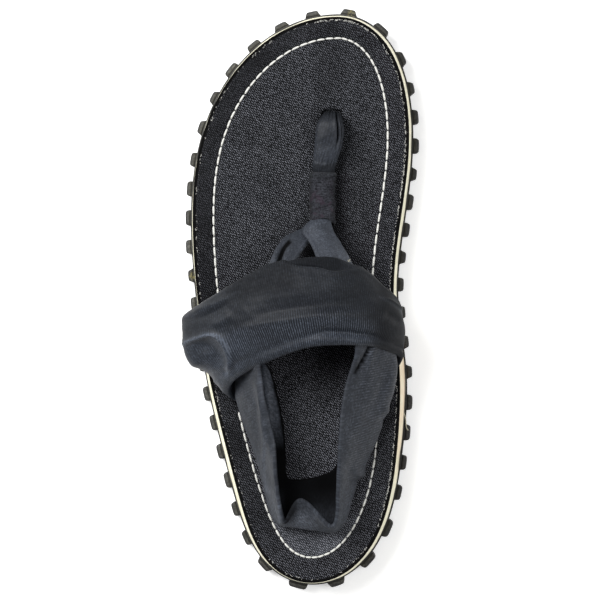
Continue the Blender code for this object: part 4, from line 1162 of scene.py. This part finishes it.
BAND_FOLDS = (
    # the long soft ridge across the instep, and the dip in front of it
    ("ridge", 1.45, 1.9, 4.6, 0.30, 0.25, ((-34.0, 115.6), (-25.8, 118.6), (-16.3, 121.6), (-7.0, 123.2), (2.2, 124.6), (18.1, 126.1),
                                           (31.6, 125.8), (41.0, 124.8))),
    ("ridge", -1.05, 4.6, 1.7, 0.25, 0.30, ((-22.0, 125.4), (-11.7, 127.0), (-2.5, 128.6), (6.7, 129.7), (22.5, 130.6), (36.0, 130.6))),
    # the front of the band leans back toward that dip
    ("ridge", 0.9, 4.0, 6.5, 0.20, 0.35, ((-30.0, 141.0), (-17.0, 145.5), (-2.0, 143.0), (12.0, 142.0), (24.0, 142.5), (33.0, 143.0))),
    ("ridge", 0.55, 2.2, 2.6, 0.40, 0.40, ((11.0, 138.6), (17.5, 139.8), (25.0, 140.4))),
    # the trough in front of the rear hem
    ("ridge", -1.7, 2.2, 1.7, 0.35, 0.25, ((2.0, 116.2), (10.2, 118.0), (20.2, 117.8), (29.2, 116.7), (38.2, 115.0), (43.0, 113.8))),
    # pulled folds at the front of the outer side
    ("ridge", 0.85, 1.2, 1.4, 0.35, 0.40, ((-52.0, 125.0), (-48.4, 125.7), (-43.5, 128.0), (-40.1, 129.6), (-36.4, 131.3), (-33.0, 133.0),
                                          (-28.0, 135.2))),
    ("ridge", -0.65, 1.1, 1.5, 0.30, 0.45, ((-51.0, 123.6), (-46.9, 124.3), (-42.4, 124.9), (-39.1, 126.2), (-35.2, 128.2), (-31.5, 130.4),
                                           (-27.0, 132.4))),
    ("ridge", 0.7, 1.3, 2.2, 0.40, 0.40, ((-42.0, 120.4), (-37.0, 121.8), (-32.0, 124.4), (-27.0, 127.2))),
    # the rim of the outer side's pocket
    ("crest", 2.3, 1.6, 1.5, 0.26, 0.14, ((-55.5, 111.2), (-50.0, 113.7), (-45.0, 115.4), (-40.0, 116.6), (-35.3, 114.8), (-32.3, 110.8),
                                          (-30.9, 105.7), (-31.5, 102.2), (-33.2, 98.4))),
    ("ridge", -1.7, 3.2, 3.6, 0.35, 0.3, ((-49.0, 110.4), (-44.0, 111.4), (-40.0, 110.2), (-36.8, 106.5), (-35.6, 101.5))),
    ("ridge", 2.3, 3.4, 3.6, 0.0, 0.0, ((-55.0, 110.4), (-51.5, 107.0), (-48.5, 103.6))),
    ("ridge", -1.6, 3.0, 3.0, 0.0, 0.0, ((-47.5, 98.0), (-42.0, 96.0))),
    # the hollow at the inner side's front, and the small crease below it
    ("ridge", -1.3, 6.0, 3.6, 0.35, 0.30, ((24.0, 133.6), (33.0, 134.6), (43.0, 135.0))),
    ("crest", 0.9, 0.8, 0.9, 0.30, 0.30, ((38.6, 133.6), (41.0, 132.4), (43.2, 131.1), (45.0, 129.7), (46.8, 128.3), (48.4, 126.4))),
    ("ridge", -0.9, 1.6, 2.6, 0.30, 0.30, ((39.0, 126.6), (43.5, 125.0), (47.8, 121.0))),
)
# the front layer is folded under: its edge runs behind the band's front edge
BAND_TUCK = ((-9.5, 151.6), (-5.4, 149.9), (-1.7, 148.5), (2.4, 147.6), (11.1, 146.8), (17.0, 145.3), (22.4, 145.8), (27.8, 146.7), (31.5, 148.2))


def band_mid(nu, nv):
    u = np.linspace(0, 1, nu)
    v = np.linspace(0, 1, nv)
    fx, fy, fl, rx, ry, rl, swell = (c(u)[:, None] for c in band_curves)
    front = np.stack([fx, fy, fl], -1)
    rear = np.stack([rx, ry, rl], -1)
    vv = v[None, :, None]
    p = front + (rear - front) * vv
    lean = np.stack([-np.cos(math.pi * u), np.zeros(nu), np.sin(math.pi * u)], -1)[:, None, :]
    crest = np.sin(math.pi * v).clip(0, 1)[None, :, None] ** 0.8
    return lifted(p + lean * swell[..., None] * crest), u, v


def build_band():
    nu, nv = 330, 96
    mid, u, v = band_mid(nu, nv)
    xy = mid[..., :2]
    h = relief(xy, BAND_FOLDS)
    # the tucked front layer
    left, past, t = near_path(xy, BAND_TUCK)
    span = smooth(t, 0.0, 0.15) * (1 - smooth(t, 0.82, 1.0)) * np.exp(-(past / 2.0) ** 2)
    drop = -1.5 * smooth(left, -0.2, 0.7) * np.exp(-(np.maximum(left - 1.0, 0) / 6.0) ** 2) + 0.55 * np.exp(-((left + 0.9) / 1.0) ** 2)
    h += span * drop
    slit = span * np.exp(-((left - 0.5) / 0.42) ** 2) * smooth(t, 0.20, 0.32) * (1 - smooth(t, 0.50, 0.66))
    h -= 1.3 * slit
    # fade the folds where the band goes down into the slots
    reach = smooth(u, 0.05, 0.16) * (1 - smooth(u, 0.86, 0.96))
    h *= (0.15 + 0.85 * reach)[:, None]
    h += 0.20 * wobble(xy, 13.0, 21, 2) * reach[:, None]
    h += 0.07 * wobble(xy, 4.5, 22, 2) * reach[:, None]
    # the rear edge is rolled into a small hem, the front edge turned over softly
    hem = np.exp(-(((1 - v) * 34.0 - 1.3) / 1.3) ** 2)
    neck = np.exp(-(((1 - v) * 34.0 - 3.9) / 1.1) ** 2)
    lip = np.exp(-((v * 34.0 - 1.2) / 1.2) ** 2)
    h += (0.55 * hem - 0.35 * neck + 0.25 * lip)[None] * reach[:, None]
    outer = 1.0 + h
    under = 1.0 - 0.75 * np.clip(h, -3.0, 1.0) + 0.25 * hem[None]
    pts, faces, cloth = strap_shell(mid, outer, np.clip(under, 0.8, 3.4), -1)
    x, y = pts[:, 0], pts[:, 1]
    # painted light: paler behind the ridge, along the hem and on the pocket, with painted highlights along fold lines
    # and two pale patches; darker in front
    line = np.interp(x, (-50.0, -26.0, -7.0, 18.0, 45.0), (113.0, 117.5, 121.6, 124.4, 121.0))
    painted_light = 0.03 + 1.12 * (1 - smooth(y, line - 2.0, line + 4.0)) * (1 - smooth(x, 30.0, 40.0))
    for row, width, much in ((BAND_FOLDS[0][6], 1.3, 0.08), (BAND_FOLDS[8][6], 0.8, 3.6), (BAND_FOLDS[5][6], 0.9, 0.45),
                             (BAND_FOLDS[3][6], 2.5, 0.12), (BAND_FOLDS[13][6], 0.7, 0.55)):
        left, past, _ = near_path(pts[:, :2], row)
        painted_light += much * np.exp(-(left / width) ** 2) * np.exp(-(past / 1.5) ** 2)
    painted_light += 0.35 * np.exp(-((x + 38.0) / 6.0) ** 2) * (1 - smooth(y, 104.0, 110.0))
    painted_light += (0.30 * np.exp(-((x + 36.0) / 6.0) ** 2 - ((y - 121.0) / 5.0) ** 2)
              + 0.45 * np.exp(-((x + 33.0) / 7.0) ** 2 - ((y - 107.0) / 7.0) ** 2))
    # painted shade: the inner face, the inner side's end, the front of the band and the edge of the tucked layer are
    # darkened
    deep = cloth[:, 2] * smooth(x, -31.0, -27.0)
    deep = np.maximum(deep, 0.50 * smooth(x, 28.0, 42.0) * (1 - 0.7 * np.clip(painted_light, 0, 1)))
    mottle = 1 + 0.16 * wobble(pts[:, :2], 2.6, 61, 2)
    ahead = smooth(y, line + 11.0, line + 19.0) * (1 - cloth[:, 2])
    deep = np.maximum(deep, 0.40 * mottle * ahead * smooth(x, -37.0, -27.0) * (1 - smooth(x, -4.0, 5.0)))
    deep = np.maximum(deep, 0.23 * mottle * smooth(y, line + 3.0, line + 9.0) * smooth(x, 14.0, 24.0) * (1 - cloth[:, 2]))
    left, past, _ = near_path(pts[:, :2], BAND_TUCK)
    deep = np.maximum(deep, 0.55 * smooth(left, 0.1, 0.6) * np.exp(-(past / 1.0) ** 2) * smooth(x, -9.0, 1.0)
                      * (1 - smooth(x, 16.0, 31.0)))
    # painted light on the inner face at the outer end, none on the rest of the inner face
    painted_light = np.where((x < -29.0) & (cloth[:, 2] > 0.5), 1.0, painted_light * (1 - cloth[:, 2]))
    ribbed = (0.15 + 0.17 * smooth(x, -50.0, -34.0) + 0.42 * (1 - smooth(y, line + 2.0, line + 11.0)) * smooth(x, -40.0, -20.0)
              * (0.45 + 0.55 * smooth(y, line - 11.0, line - 4.0)))
    obj = make("instep_band_jersey", pts, upright(pts, faces), JERSEY,
               extra={"cloth": cloth, "painted_light": np.clip(painted_light, 0, 4.0), "deep": deep, "ribbed": ribbed})
    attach(obj, "root")
    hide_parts("upper")


# ------------------------------------------------------------------ the heel sling
loop_curves = by_spacing(LOOP_SECTIONS, 0, 9)
SLING_FOLDS = (
    # the outer strand: a soft dip down its middle, the raised edge beside it, the slit between its two layers
    ("ridge", -0.9, 1.3, 3.0, 0.25, 0.25, ((-20.0, 98.0), (-19.4, 92.0), (-18.6, 86.3), (-18.3, 77.0), (-18.0, 67.5), (-16.9, 58.0))),
    ("ridge", 0.75, 1.2, 1.3, 0.20, 0.25, ((-17.0, 97.0), (-15.8, 86.0), (-15.2, 77.0), (-15.2, 68.0), (-15.7, 60.0), (-15.9, 52.0), (-14.9, 44.0))),
    ("ridge", -1.9, 0.5, 0.55, 0.02, 0.25, ((-17.2, 112.0), (-16.6, 103.0), (-16.2, 96.0), (-15.3, 88.0), (-14.3, 79.5), (-13.1, 72.0),
                                            (-11.2, 65.6), (-9.9, 58.0))),
    # the inner strand: a short deep crease under the band, with a drawn edge beside it
    ("ridge", -1.7, 0.7, 0.7, 0.02, 0.30, ((34.6, 114.0), (32.2, 109.0), (30.1, 105.0), (28.4, 102.0), (27.0, 99.0))),
    ("crest", 0.7, 1.2, 0.9, 0.05, 0.45, ((36.2, 114.0), (34.8, 110.0), (33.4, 105.8), (32.0, 101.0), (30.4, 96.0))),
    # the front of the outer strand: a narrow folded edge, then a slit
    ("ridge", -2.2, 1.2, 1.3, 0.03, 0.60, ((-9.2, 148.5), (-8.4, 151.2), (-7.2, 155.0), (-5.6, 157.8), (-4.2, 159.4))),
    ("ridge", 0.45, 2.4, 2.4, 0.3, 0.3, ((31.0, 88.0), (27.0, 76.0), (23.0, 64.0), (19.5, 52.0))),
    ("ridge", -0.5, 2.4, 2.4, 0.3, 0.3, ((40.0, 104.0), (38.0, 92.0), (33.0, 78.0))),
    # two small kinks in the inner strand's outer edge
    ("ridge", 0.9, 0.9, 3.2, 0.0, 0.6, ((44.0, 79.2), (40.5, 80.4), (36.5, 82.2))),
    ("ridge", -0.8, 2.2, 0.9, 0.0, 0.6, ((43.0, 75.9), (39.0, 77.0), (35.5, 78.4))),
    ("ridge", 1.3, 0.8, 2.8, 0.0, 0.6, ((30.0, 50.4), (26.0, 51.8), (22.5, 53.6))),
    ("ridge", -0.9, 2.0, 0.8, 0.0, 0.6, ((29.0, 47.4), (25.2, 48.6), (22.0, 50.0))),
)


def loop_mid(nu, nv):
    u = np.linspace(0, 1, nu)
    v = np.linspace(0, 1, nv)
    c = [f(u) for f in loop_curves]
    edge, bend, rim = (np.stack(c[k:k + 3], -1)[:, None, :] for k in (0, 3, 6))
    vv = v[None, :, None]
    return lifted((1 - vv) ** 3 * edge + 3 * vv * (1 - vv) * bend + vv ** 3 * rim), u, v


def build_sling():
    nu, nv = 560, 60
    mid, u, v = loop_mid(nu, nv)
    xy = mid[..., :2]
    h = relief(xy, SLING_FOLDS)
    h += 0.22 * wobble(mid, 12.0, 31) + 0.08 * wobble(mid, 4.0, 32)
    ends = smooth(u, 0.03, 0.08) * (1 - smooth(u, 0.92, 0.97))
    h *= (0.1 + 0.9 * ends)[:, None]
    hem = np.exp(-(((1 - v) * 30.0 - 1.1) / 1.1) ** 2)
    h += 0.3 * (hem[None] * ends[:, None])
    pts, faces, cloth = strap_shell(mid, 0.95 + h, 0.95 - 0.6 * np.clip(h, -1.0, 0.6), 1)
    x, y = pts[:, 0], pts[:, 1]
    inner_side = cloth[:, 2]
    lift = pts[:, 2] - board_top(np.clip(y, 0.0, SOLE_LENGTH))
    # painted shade inside the heel, with less of it on the folded cloth at its foot
    right = smooth(x, 3.0, 9.0)
    inside = (right * np.interp(y, (30.0, 37.0, 45.0, 62.0, 78.0), (0.50, 0.90, 1.0, 1.0, 0.0))
              + (1 - right) * np.interp(y, (24.0, 28.0, 62.0, 78.0), (0.6, 0.95, 1.0, 0.0)))
    left, past, _ = near_path(pts[:, :2], ((-12.2, 45.0), (-11.2, 38.0), (-9.4, 32.0)))
    inside -= 0.45 * np.exp(-(left / 1.3) ** 2) * np.exp(-(past / 2.0) ** 2)
    inside -= 0.30 * (1 - smooth(y, 38.0, 46.0)) * (1 - smooth(x, -9.5, -5.5))
    deep = inner_side * inside
    # painted shade: the hump of folded cloth at the back is darkened toward its rim
    place = np.arange(len(pts)) % (2 * nv + 10)
    rise = np.clip(place / (nv - 1.0), 0.0, 1.0) * (1 - inner_side)
    deep = np.maximum(deep, (0.55 * smooth(rise, 0.80, 1.0) + 0.35 * smooth(rise, 0.55, 0.9) * (1 - smooth(x, -3.0, 2.0))) * smooth(x, -9.0, -6.0) * (1 - smooth(x, 5.0, 9.0)) * (y < 42.0)
                      * smooth(lift, 8.0, 16.0))
    # painted shade in the slit between the outer strand's rim and the layer that lies on the footbed, and a painted
    # shadow line along that layer's outer edge
    rim_x = np.interp(y, (46.0, 61.0, 76.0, 89.5, 103.0), (-9.6, -10.6, -13.6, -16.0, -17.5)) - 1.1
    deep = np.maximum(deep, inner_side * np.exp(-((x - rim_x) / 0.55) ** 2) * (lift < 12.0) * (y > 44.0) * (x < 0))
    foot = np.interp(y, (50.0, 58.0, 74.0, 91.0, 103.0), (-6.8, -7.5, -8.6, -12.0, -16.5))
    deep = np.maximum(deep, 0.9 * np.exp(-((x - foot) / 0.45) ** 2) * (lift < 6.0) * (y > 50.0) * (y < 108.0) * (x < 0))
    # painted shade under the strap's lower edge
    deep = np.maximum(deep, ((place >= 2 * nv + 5) | (place < 1)) * (y > 40.0) * (y < 106.0) * 1.0)
    # painted shade along the inner strand's crease and the outer strand's front slit
    for row, width in ((SLING_FOLDS[3][6], 0.55), (SLING_FOLDS[5][6], 1.0)):
        left, past, _ = near_path(pts[:, :2], row)
        deep = np.maximum(deep, np.minimum(1.0, 1.7 * np.exp(-(left / width) ** 2)) * np.exp(-(past / 1.0) ** 2) * (lift > 8.0))
    # painted light: paler on the inner strand, round the heel, on the hump at the back and on the arms, a little less
    # at the hump's foot; then on the layer that lies on the footbed, and painted highlights along three ridges
    painted_light = np.where(x < 0, 0.05, 0.30) + 0.25 * (y < 46.0) + ((0.12 + 1.10 * smooth(x, -11.0, -7.0) * (1 - smooth(x, 6.0, 10.0)) * smooth(lift, 4.0, 8.0)) - 0.27 * (lift < 6.0)) * (1 - smooth(y, 37.0, 44.0)) * (1 - inner_side) + 0.22 * ((y > 146.0) & (x > 4.0)) + 0.20 * (y > 146.0)
    painted_light += 1.9 * inner_side * (lift < 12.0) * (y > 58.0) * (x < 0)
    for row, width, much in ((SLING_FOLDS[1][6], 1.0, 0.7), (SLING_FOLDS[4][6], 0.8, 0.5),
                             (((-31.4, 88.0), (-28.2, 76.0), (-23.5, 64.3), (-19.1, 55.0), (-16.2, 46.0)), 1.6, 0.55)):
        left, past, _ = near_path(pts[:, :2], row)
        painted_light += much * np.exp(-(left / width) ** 2) * np.exp(-(past / 2.0) ** 2) * (1 - inner_side)
    edge_on = np.minimum(smooth(place, nv - 1.0, nv - 8.0), smooth(place, 2.0, 9.0))
    ribbed = (0.12 + 0.20 * smooth(x, 2.0, 12.0) * smooth(y, 44.0, 62.0)) * np.where(y > 140.0, 0.3, 1.0) * np.where(place < nv, edge_on, 0.3)
    ribbed = np.maximum(ribbed, 0.75 * (1 - smooth(y, 27.0, 33.0)) * (1 - smooth(lift, 7.0, 11.0)) * (1 - inner_side))
    obj = make("heel_sling_jersey", pts, upright(pts, faces), SLING,
               extra={"cloth": cloth, "painted_light": np.clip(painted_light, 0, 2.0), "deep": np.clip(deep, 0, 1), "ribbed": ribbed})
    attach(obj, "root")


# ------------------------------------------------------------------ the toe post and its wrap
def tube_grid(table, count, sides, grow=0.0, square=2.6):
    curves = by_spacing(table, 0, 5)
    t = np.linspace(0, 1, count)
    c = np.stack([f(t) for f in curves], -1)
    pts = lifted(c[:, :3])
    tangent = np.gradient(pts, axis=0)
    tangent /= np.linalg.norm(tangent, axis=1, keepdims=True)
    wide = np.array([1.0, 0.0, 0.0]) - tangent * tangent[:, :1]
    wide /= np.linalg.norm(wide, axis=1, keepdims=True)
    tall = np.cross(wide, tangent)
    a = np.arange(sides) * 2 * math.pi / sides
    square = np.broadcast_to(square, (count,))[:, None]
    ca = np.sign(np.cos(a)) * np.abs(np.cos(a)) ** (2 / square)
    sa = np.sign(np.sin(a)) * np.abs(np.sin(a)) ** (2 / square)
    grow = np.broadcast_to(grow, (count, sides))
    return (pts[:, None] + wide[:, None] * (ca * (c[:, 3:4] + grow))[..., None]
            + tall[:, None] * (sa * (c[:, 4:5] + grow))[..., None]), a, t, pts


def tube_cloth(grid):
    step = np.linalg.norm(np.diff(grid, axis=0), axis=2).mean(axis=1)
    run = np.concatenate([[0.0], np.cumsum(step)])
    round_ = np.linalg.norm(np.diff(np.concatenate([grid, grid[:, :1]], axis=1), axis=1), axis=2)
    round_ = np.concatenate([np.zeros((len(grid), 1)), np.cumsum(round_, axis=1)[:, :-1]], axis=1).mean(axis=0)
    return np.stack([np.broadcast_to(round_, grid.shape[:2]), np.broadcast_to(run[:, None], grid.shape[:2]),
                     np.zeros(grid.shape[:2])], -1)


def build_post():
    n, sides = 170, 200
    square = 2.0 + 0.6 * smooth(np.linspace(0, 1, n), 0.18, 0.45)
    grid, a, t, centre = tube_grid(POST_SECTIONS, n, sides, 0.0, square)
    along = centre[:, 1][:, None]
    up = -a[None, :]                      # angle: 0 at the inner side, 90 degrees on top

    def groove(mid_angle, width, depth, lo, hi, drift=0.0):
        m = mid_angle + drift * (along - 210.0)
        d = np.mod(up - m + math.pi, 2 * math.pi) - math.pi
        return -depth * np.exp(-(d / width) ** 2) * smooth(along, lo, lo + 5.0) * (1 - smooth(along, hi - 3.0, hi))

    g = groove(math.radians(57), 0.085, 1.9, 205.0, 222.0, 0.006)
    g += groove(math.radians(40), 0.07, 0.7, 207.0, 217.0, 0.006)
    g += groove(math.radians(48), 0.10, -0.45, 200.0, 220.0, 0.012)
    g += groove(math.radians(69), 0.12, -0.40, 203.0, 220.0, 0.012)
    # gathers where the cloth turns down into the footbed
    depth = smooth(along, 214.8, 220.5)
    for k, (deg, deep) in enumerate(((20, 0.4), (79, 0.5), (97, 0.9), (118, 0.5), (146, 0.6), (168, 0.4))):
        d = np.mod(up - math.radians(deg) + math.pi, 2 * math.pi) - math.pi
        g -= deep * depth * np.exp(-(d / 0.07) ** 2)
        g += 0.3 * depth * np.exp(-((np.abs(d) - 0.13) / 0.07) ** 2)
    # the neck drawn in by the wrap
    g += 0.06 * np.exp(-((along - 195.2) / 0.9) ** 2) - 0.12 * np.exp(-((along - 197.0) / 0.8) ** 2)
    for k in range(9):
        d = np.mod(up - math.radians(18 + 19 * k) + math.pi, 2 * math.pi) - math.pi
        g -= 0.30 * np.exp(-((along - 197.6) / 2.0) ** 2) * np.exp(-(d / 0.07) ** 2)
    g += 0.16 * wobble(grid, 7.0, 41) + 0.06 * wobble(grid, 3.0, 42)
    grid, a, t, centre = tube_grid(POST_SECTIONS, n, sides, g, square)
    pts = grid.reshape(-1, 3)
    faces = strip_faces(n, sides, closed_cols=True)
    faces.append(tuple(range(sides)))
    faces.append(tuple((n - 1) * sides + i for i in range(sides))[::-1])
    # painted light: a paler band across the middle of the post
    painted_light = 0.05 + 0.85 * np.exp(-((pts[:, 1] - 201.5) / 5.5) ** 2)
    turn = np.tile(-a, n)
    far = np.mod(turn - math.radians(57) - 0.006 * (pts[:, 1] - 210.0) + math.pi, 2 * math.pi) - math.pi
    # the dark collar drawn tight above the wrap
    deep = 0.45 * (1 - smooth(pts[:, 1] + 0.35 * np.sin(4.0 * turn + 1.0) + 0.2 * np.sin(9.0 * turn), 195.6, 196.7))
    # painted shade along the main crease and where the cloth turns down into the footbed
    deep = np.maximum(deep, np.exp(-(far / 0.07) ** 2) * smooth(pts[:, 1], 205.5, 209.0))
    deep = np.maximum(deep, 0.45 * smooth(pts[:, 1], 213.5, 220.5))
    obj = make("toe_post_gathered", pts, upright(pts, faces), POST,
               extra={"cloth": tube_cloth(grid).reshape(-1, 3), "painted_light": painted_light, "deep": deep,
                      "ribbed": np.full(len(pts), 0.2)})
    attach(obj, "root")
    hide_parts("toe_post")


def build_wrap():
    n, sides = 170, 96
    grid, a, t, centre = tube_grid(WRAP_SECTIONS, n, sides)
    along = centre[:, 1][:, None]
    up = -a[None, :]
    rib = 0.05 * np.sin(2 * math.pi * (along + 0.7 * wobble(grid, 5.0, 52)) / 1.35)
    turns = np.zeros((n, sides))
    for at, deep, tilt, seed in ((190.6, 0.7, 0.9, 1), (187.4, 0.45, -0.8, 2), (184.4, 0.4, 0.7, 3), (181.2, 0.25, -1.4, 4),
                                 (176.2, 0.3, 1.2, 5)):
        d = along - (at + tilt * np.cos(up) + 0.5 * np.sin(3 * up + seed))
        turns += deep * (np.exp(-(d / 0.9) ** 2) - 0.8 * np.exp(-((d + 1.0) / 0.5) ** 2)) * (0.6 + 0.4 * np.sin(2 * up + seed))
    soft = 0.40 * wobble(grid, 5.5, 51) + 0.13 * wobble(grid, 2.2, 53)
    g = rib + 0.8 * turns + soft
    g = g - 0.9 * np.clip((along - 191.2) / 1.3, 0, 1) ** 2.2 - 0.8 * np.clip((169.0 - along) / 1.5, 0, 1) ** 2.2
    outer, a, t, centre = tube_grid(WRAP_SECTIONS, n, sides, g)
    inner, _, _, _ = tube_grid(WRAP_SECTIONS, n, sides, -1.2 + 0 * g)
    # its rear mouth is cut back on top
    back = smooth(9.0 - (along - 167.4), 0.0, 9.0) * 1.0
    shift = back * (2.3 * np.clip(np.sin(up), 0, 1) ** 2 * (1 - 0.5 * np.cos(up) ** 2))
    for g_ in (outer, inner):
        g_[..., 1] += shift
    pts = np.concatenate([outer.reshape(-1, 3), inner.reshape(-1, 3)])
    m = n * sides
    faces = strip_faces(n, sides, closed_cols=True)
    faces += strip_faces(n, sides, closed_cols=True, base=m, flip=True)
    for i in (0, n - 1):
        for k in range(sides):
            j = (k + 1) % sides
            q = (i * sides + k, i * sides + j, m + i * sides + j, m + i * sides + k)
            faces.append(q[::-1] if i == 0 else q)
    cloth = np.concatenate([tube_cloth(outer).reshape(-1, 3), tube_cloth(inner).reshape(-1, 3)])
    obj = make("toe_post_wrap_knit", pts, upright(pts, faces), KNIT, extra={"cloth": cloth})
    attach(obj, "root")
    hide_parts("toe_post_wrap")


# ------------------------------------------------------------------ the webbing tab at the outer side
def build_anchor():
    _, ax, ay, _, _, turn = SLOTS[0]
    c, s = math.cos(math.radians(turn)), math.sin(math.radians(turn))
    n, m = 12, 34
    t = np.linspace(0, 1, n)[:, None]
    y = np.linspace(-0.5, 0.5, m)[None] * 21.0
    x = 1.5 + 0.9 * np.maximum(0.0, t - 0.4) ** 2 + 0.05 * np.sin(y * 0.9)
    lift = -2.6 + (0.5 + 2.6) * t - 0.5 * np.abs(y) / 21.0 * t
    mid = np.stack(np.broadcast_arrays(ax + x * c + y * s, ay - x * s + y * c, lift), -1)
    mid[..., 2] += board_top(ay)
    pts, faces, cloth = strap_shell(mid, 0.62, 0.62, 1, caps=3)
    cloth = cloth[:, [1, 0, 2]]
    obj = make("side_anchor_webbing", pts, upright(pts, faces), WEBBING, extra={"cloth": cloth}, sharp=50.0)
    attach(obj, "root")
    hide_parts("side_anchor")


SLING = jersey_look("sling_jersey", (0.004, 0.005, 0.007), (0.133, 0.151, 0.190), wale=1.28, lean=0.35, seed=5.0, speckle=0.9).mat
POST = jersey_look("post_jersey", (0.004, 0.005, 0.007), (0.071, 0.082, 0.108), wale=1.15, lean=0.12, seed=9.0, speckle=0.9).mat

build_outsole()
build_midsole()
build_footbed()
build_stitches()
build_fray()
build_loose_threads()
build_band()
build_sling()
build_post()
build_wrap()
build_anchor()


# ------------------------------------------------------------------ floor, light, camera
floor_look = Look("studio_floor", roughness=0.9, specular=0.1)
floor_look.colour(floor_look.mix(floor_look.noise(floor_look.object_mm(), 60.0, 2.0, 0.5), (0.97, 0.97, 0.965), (0.985, 0.985, 0.98)))
floor_look.bsdf.inputs["Emission Color"].default_value = (1.0, 1.0, 1.0, 1.0)
floor_look.bsdf.inputs["Emission Strength"].default_value = 0.40
floor = make("studio_floor", [(-4000, -4000, -0.05), (4000, -4000, -0.05), (4000, 4000, -0.05), (-4000, 4000, -0.05)],
             [(0, 1, 2, 3)], floor_look.mat, smooth_shade=False)

world = bpy.data.worlds.new("studio")
bpy.context.scene.world = world
world.use_nodes = True
world.node_tree.nodes["Background"].inputs[0].default_value = (1.0, 1.0, 1.0, 1.0)
world.node_tree.nodes["Background"].inputs[1].default_value = 0.24


def area_light(name, place, aim, size, power, colour=(1, 1, 1)):
    data = bpy.data.lights.new(name, "AREA")
    data.shape = "RECTANGLE"
    data.size, data.size_y = size
    data.energy = power
    data.color = colour
    obj = bpy.data.objects.new(name, data)
    bpy.context.scene.collection.objects.link(obj)
    obj.matrix_world = Matrix.Translation(place) @ (Vector(aim) - Vector(place)).to_track_quat("-Z", "Y").to_matrix().to_4x4()
    return obj


area_light("key_left", (-0.75, 0.55, 1.15), (0.0, 0.0, 0.03), (0.7, 0.9), 27.0)
area_light("fill_right", (0.85, 0.05, 1.10), (0.0, 0.0, 0.03), (0.6, 0.9), 7.0)

camera_data = bpy.data.cameras.new("camera")
camera_data.lens = 153.19
camera_data.sensor_width = 36.0
camera = bpy.data.objects.new("camera", camera_data)
bpy.context.scene.collection.objects.link(camera)
EYE, AIM = Vector((0.06344, -0.00232, 1.2225)), Vector((0.0, 0.0, 0.0225))
back = (EYE - AIM).normalized()
right = Vector((0.0, 1.0, 0.0)).cross(back).normalized()
camera.matrix_world = Matrix.Translation(EYE) @ Matrix((right, back.cross(right), back)).transposed().to_4x4()
bpy.context.scene.camera = camera
bpy.context.scene.view_settings.view_transform = "Standard"
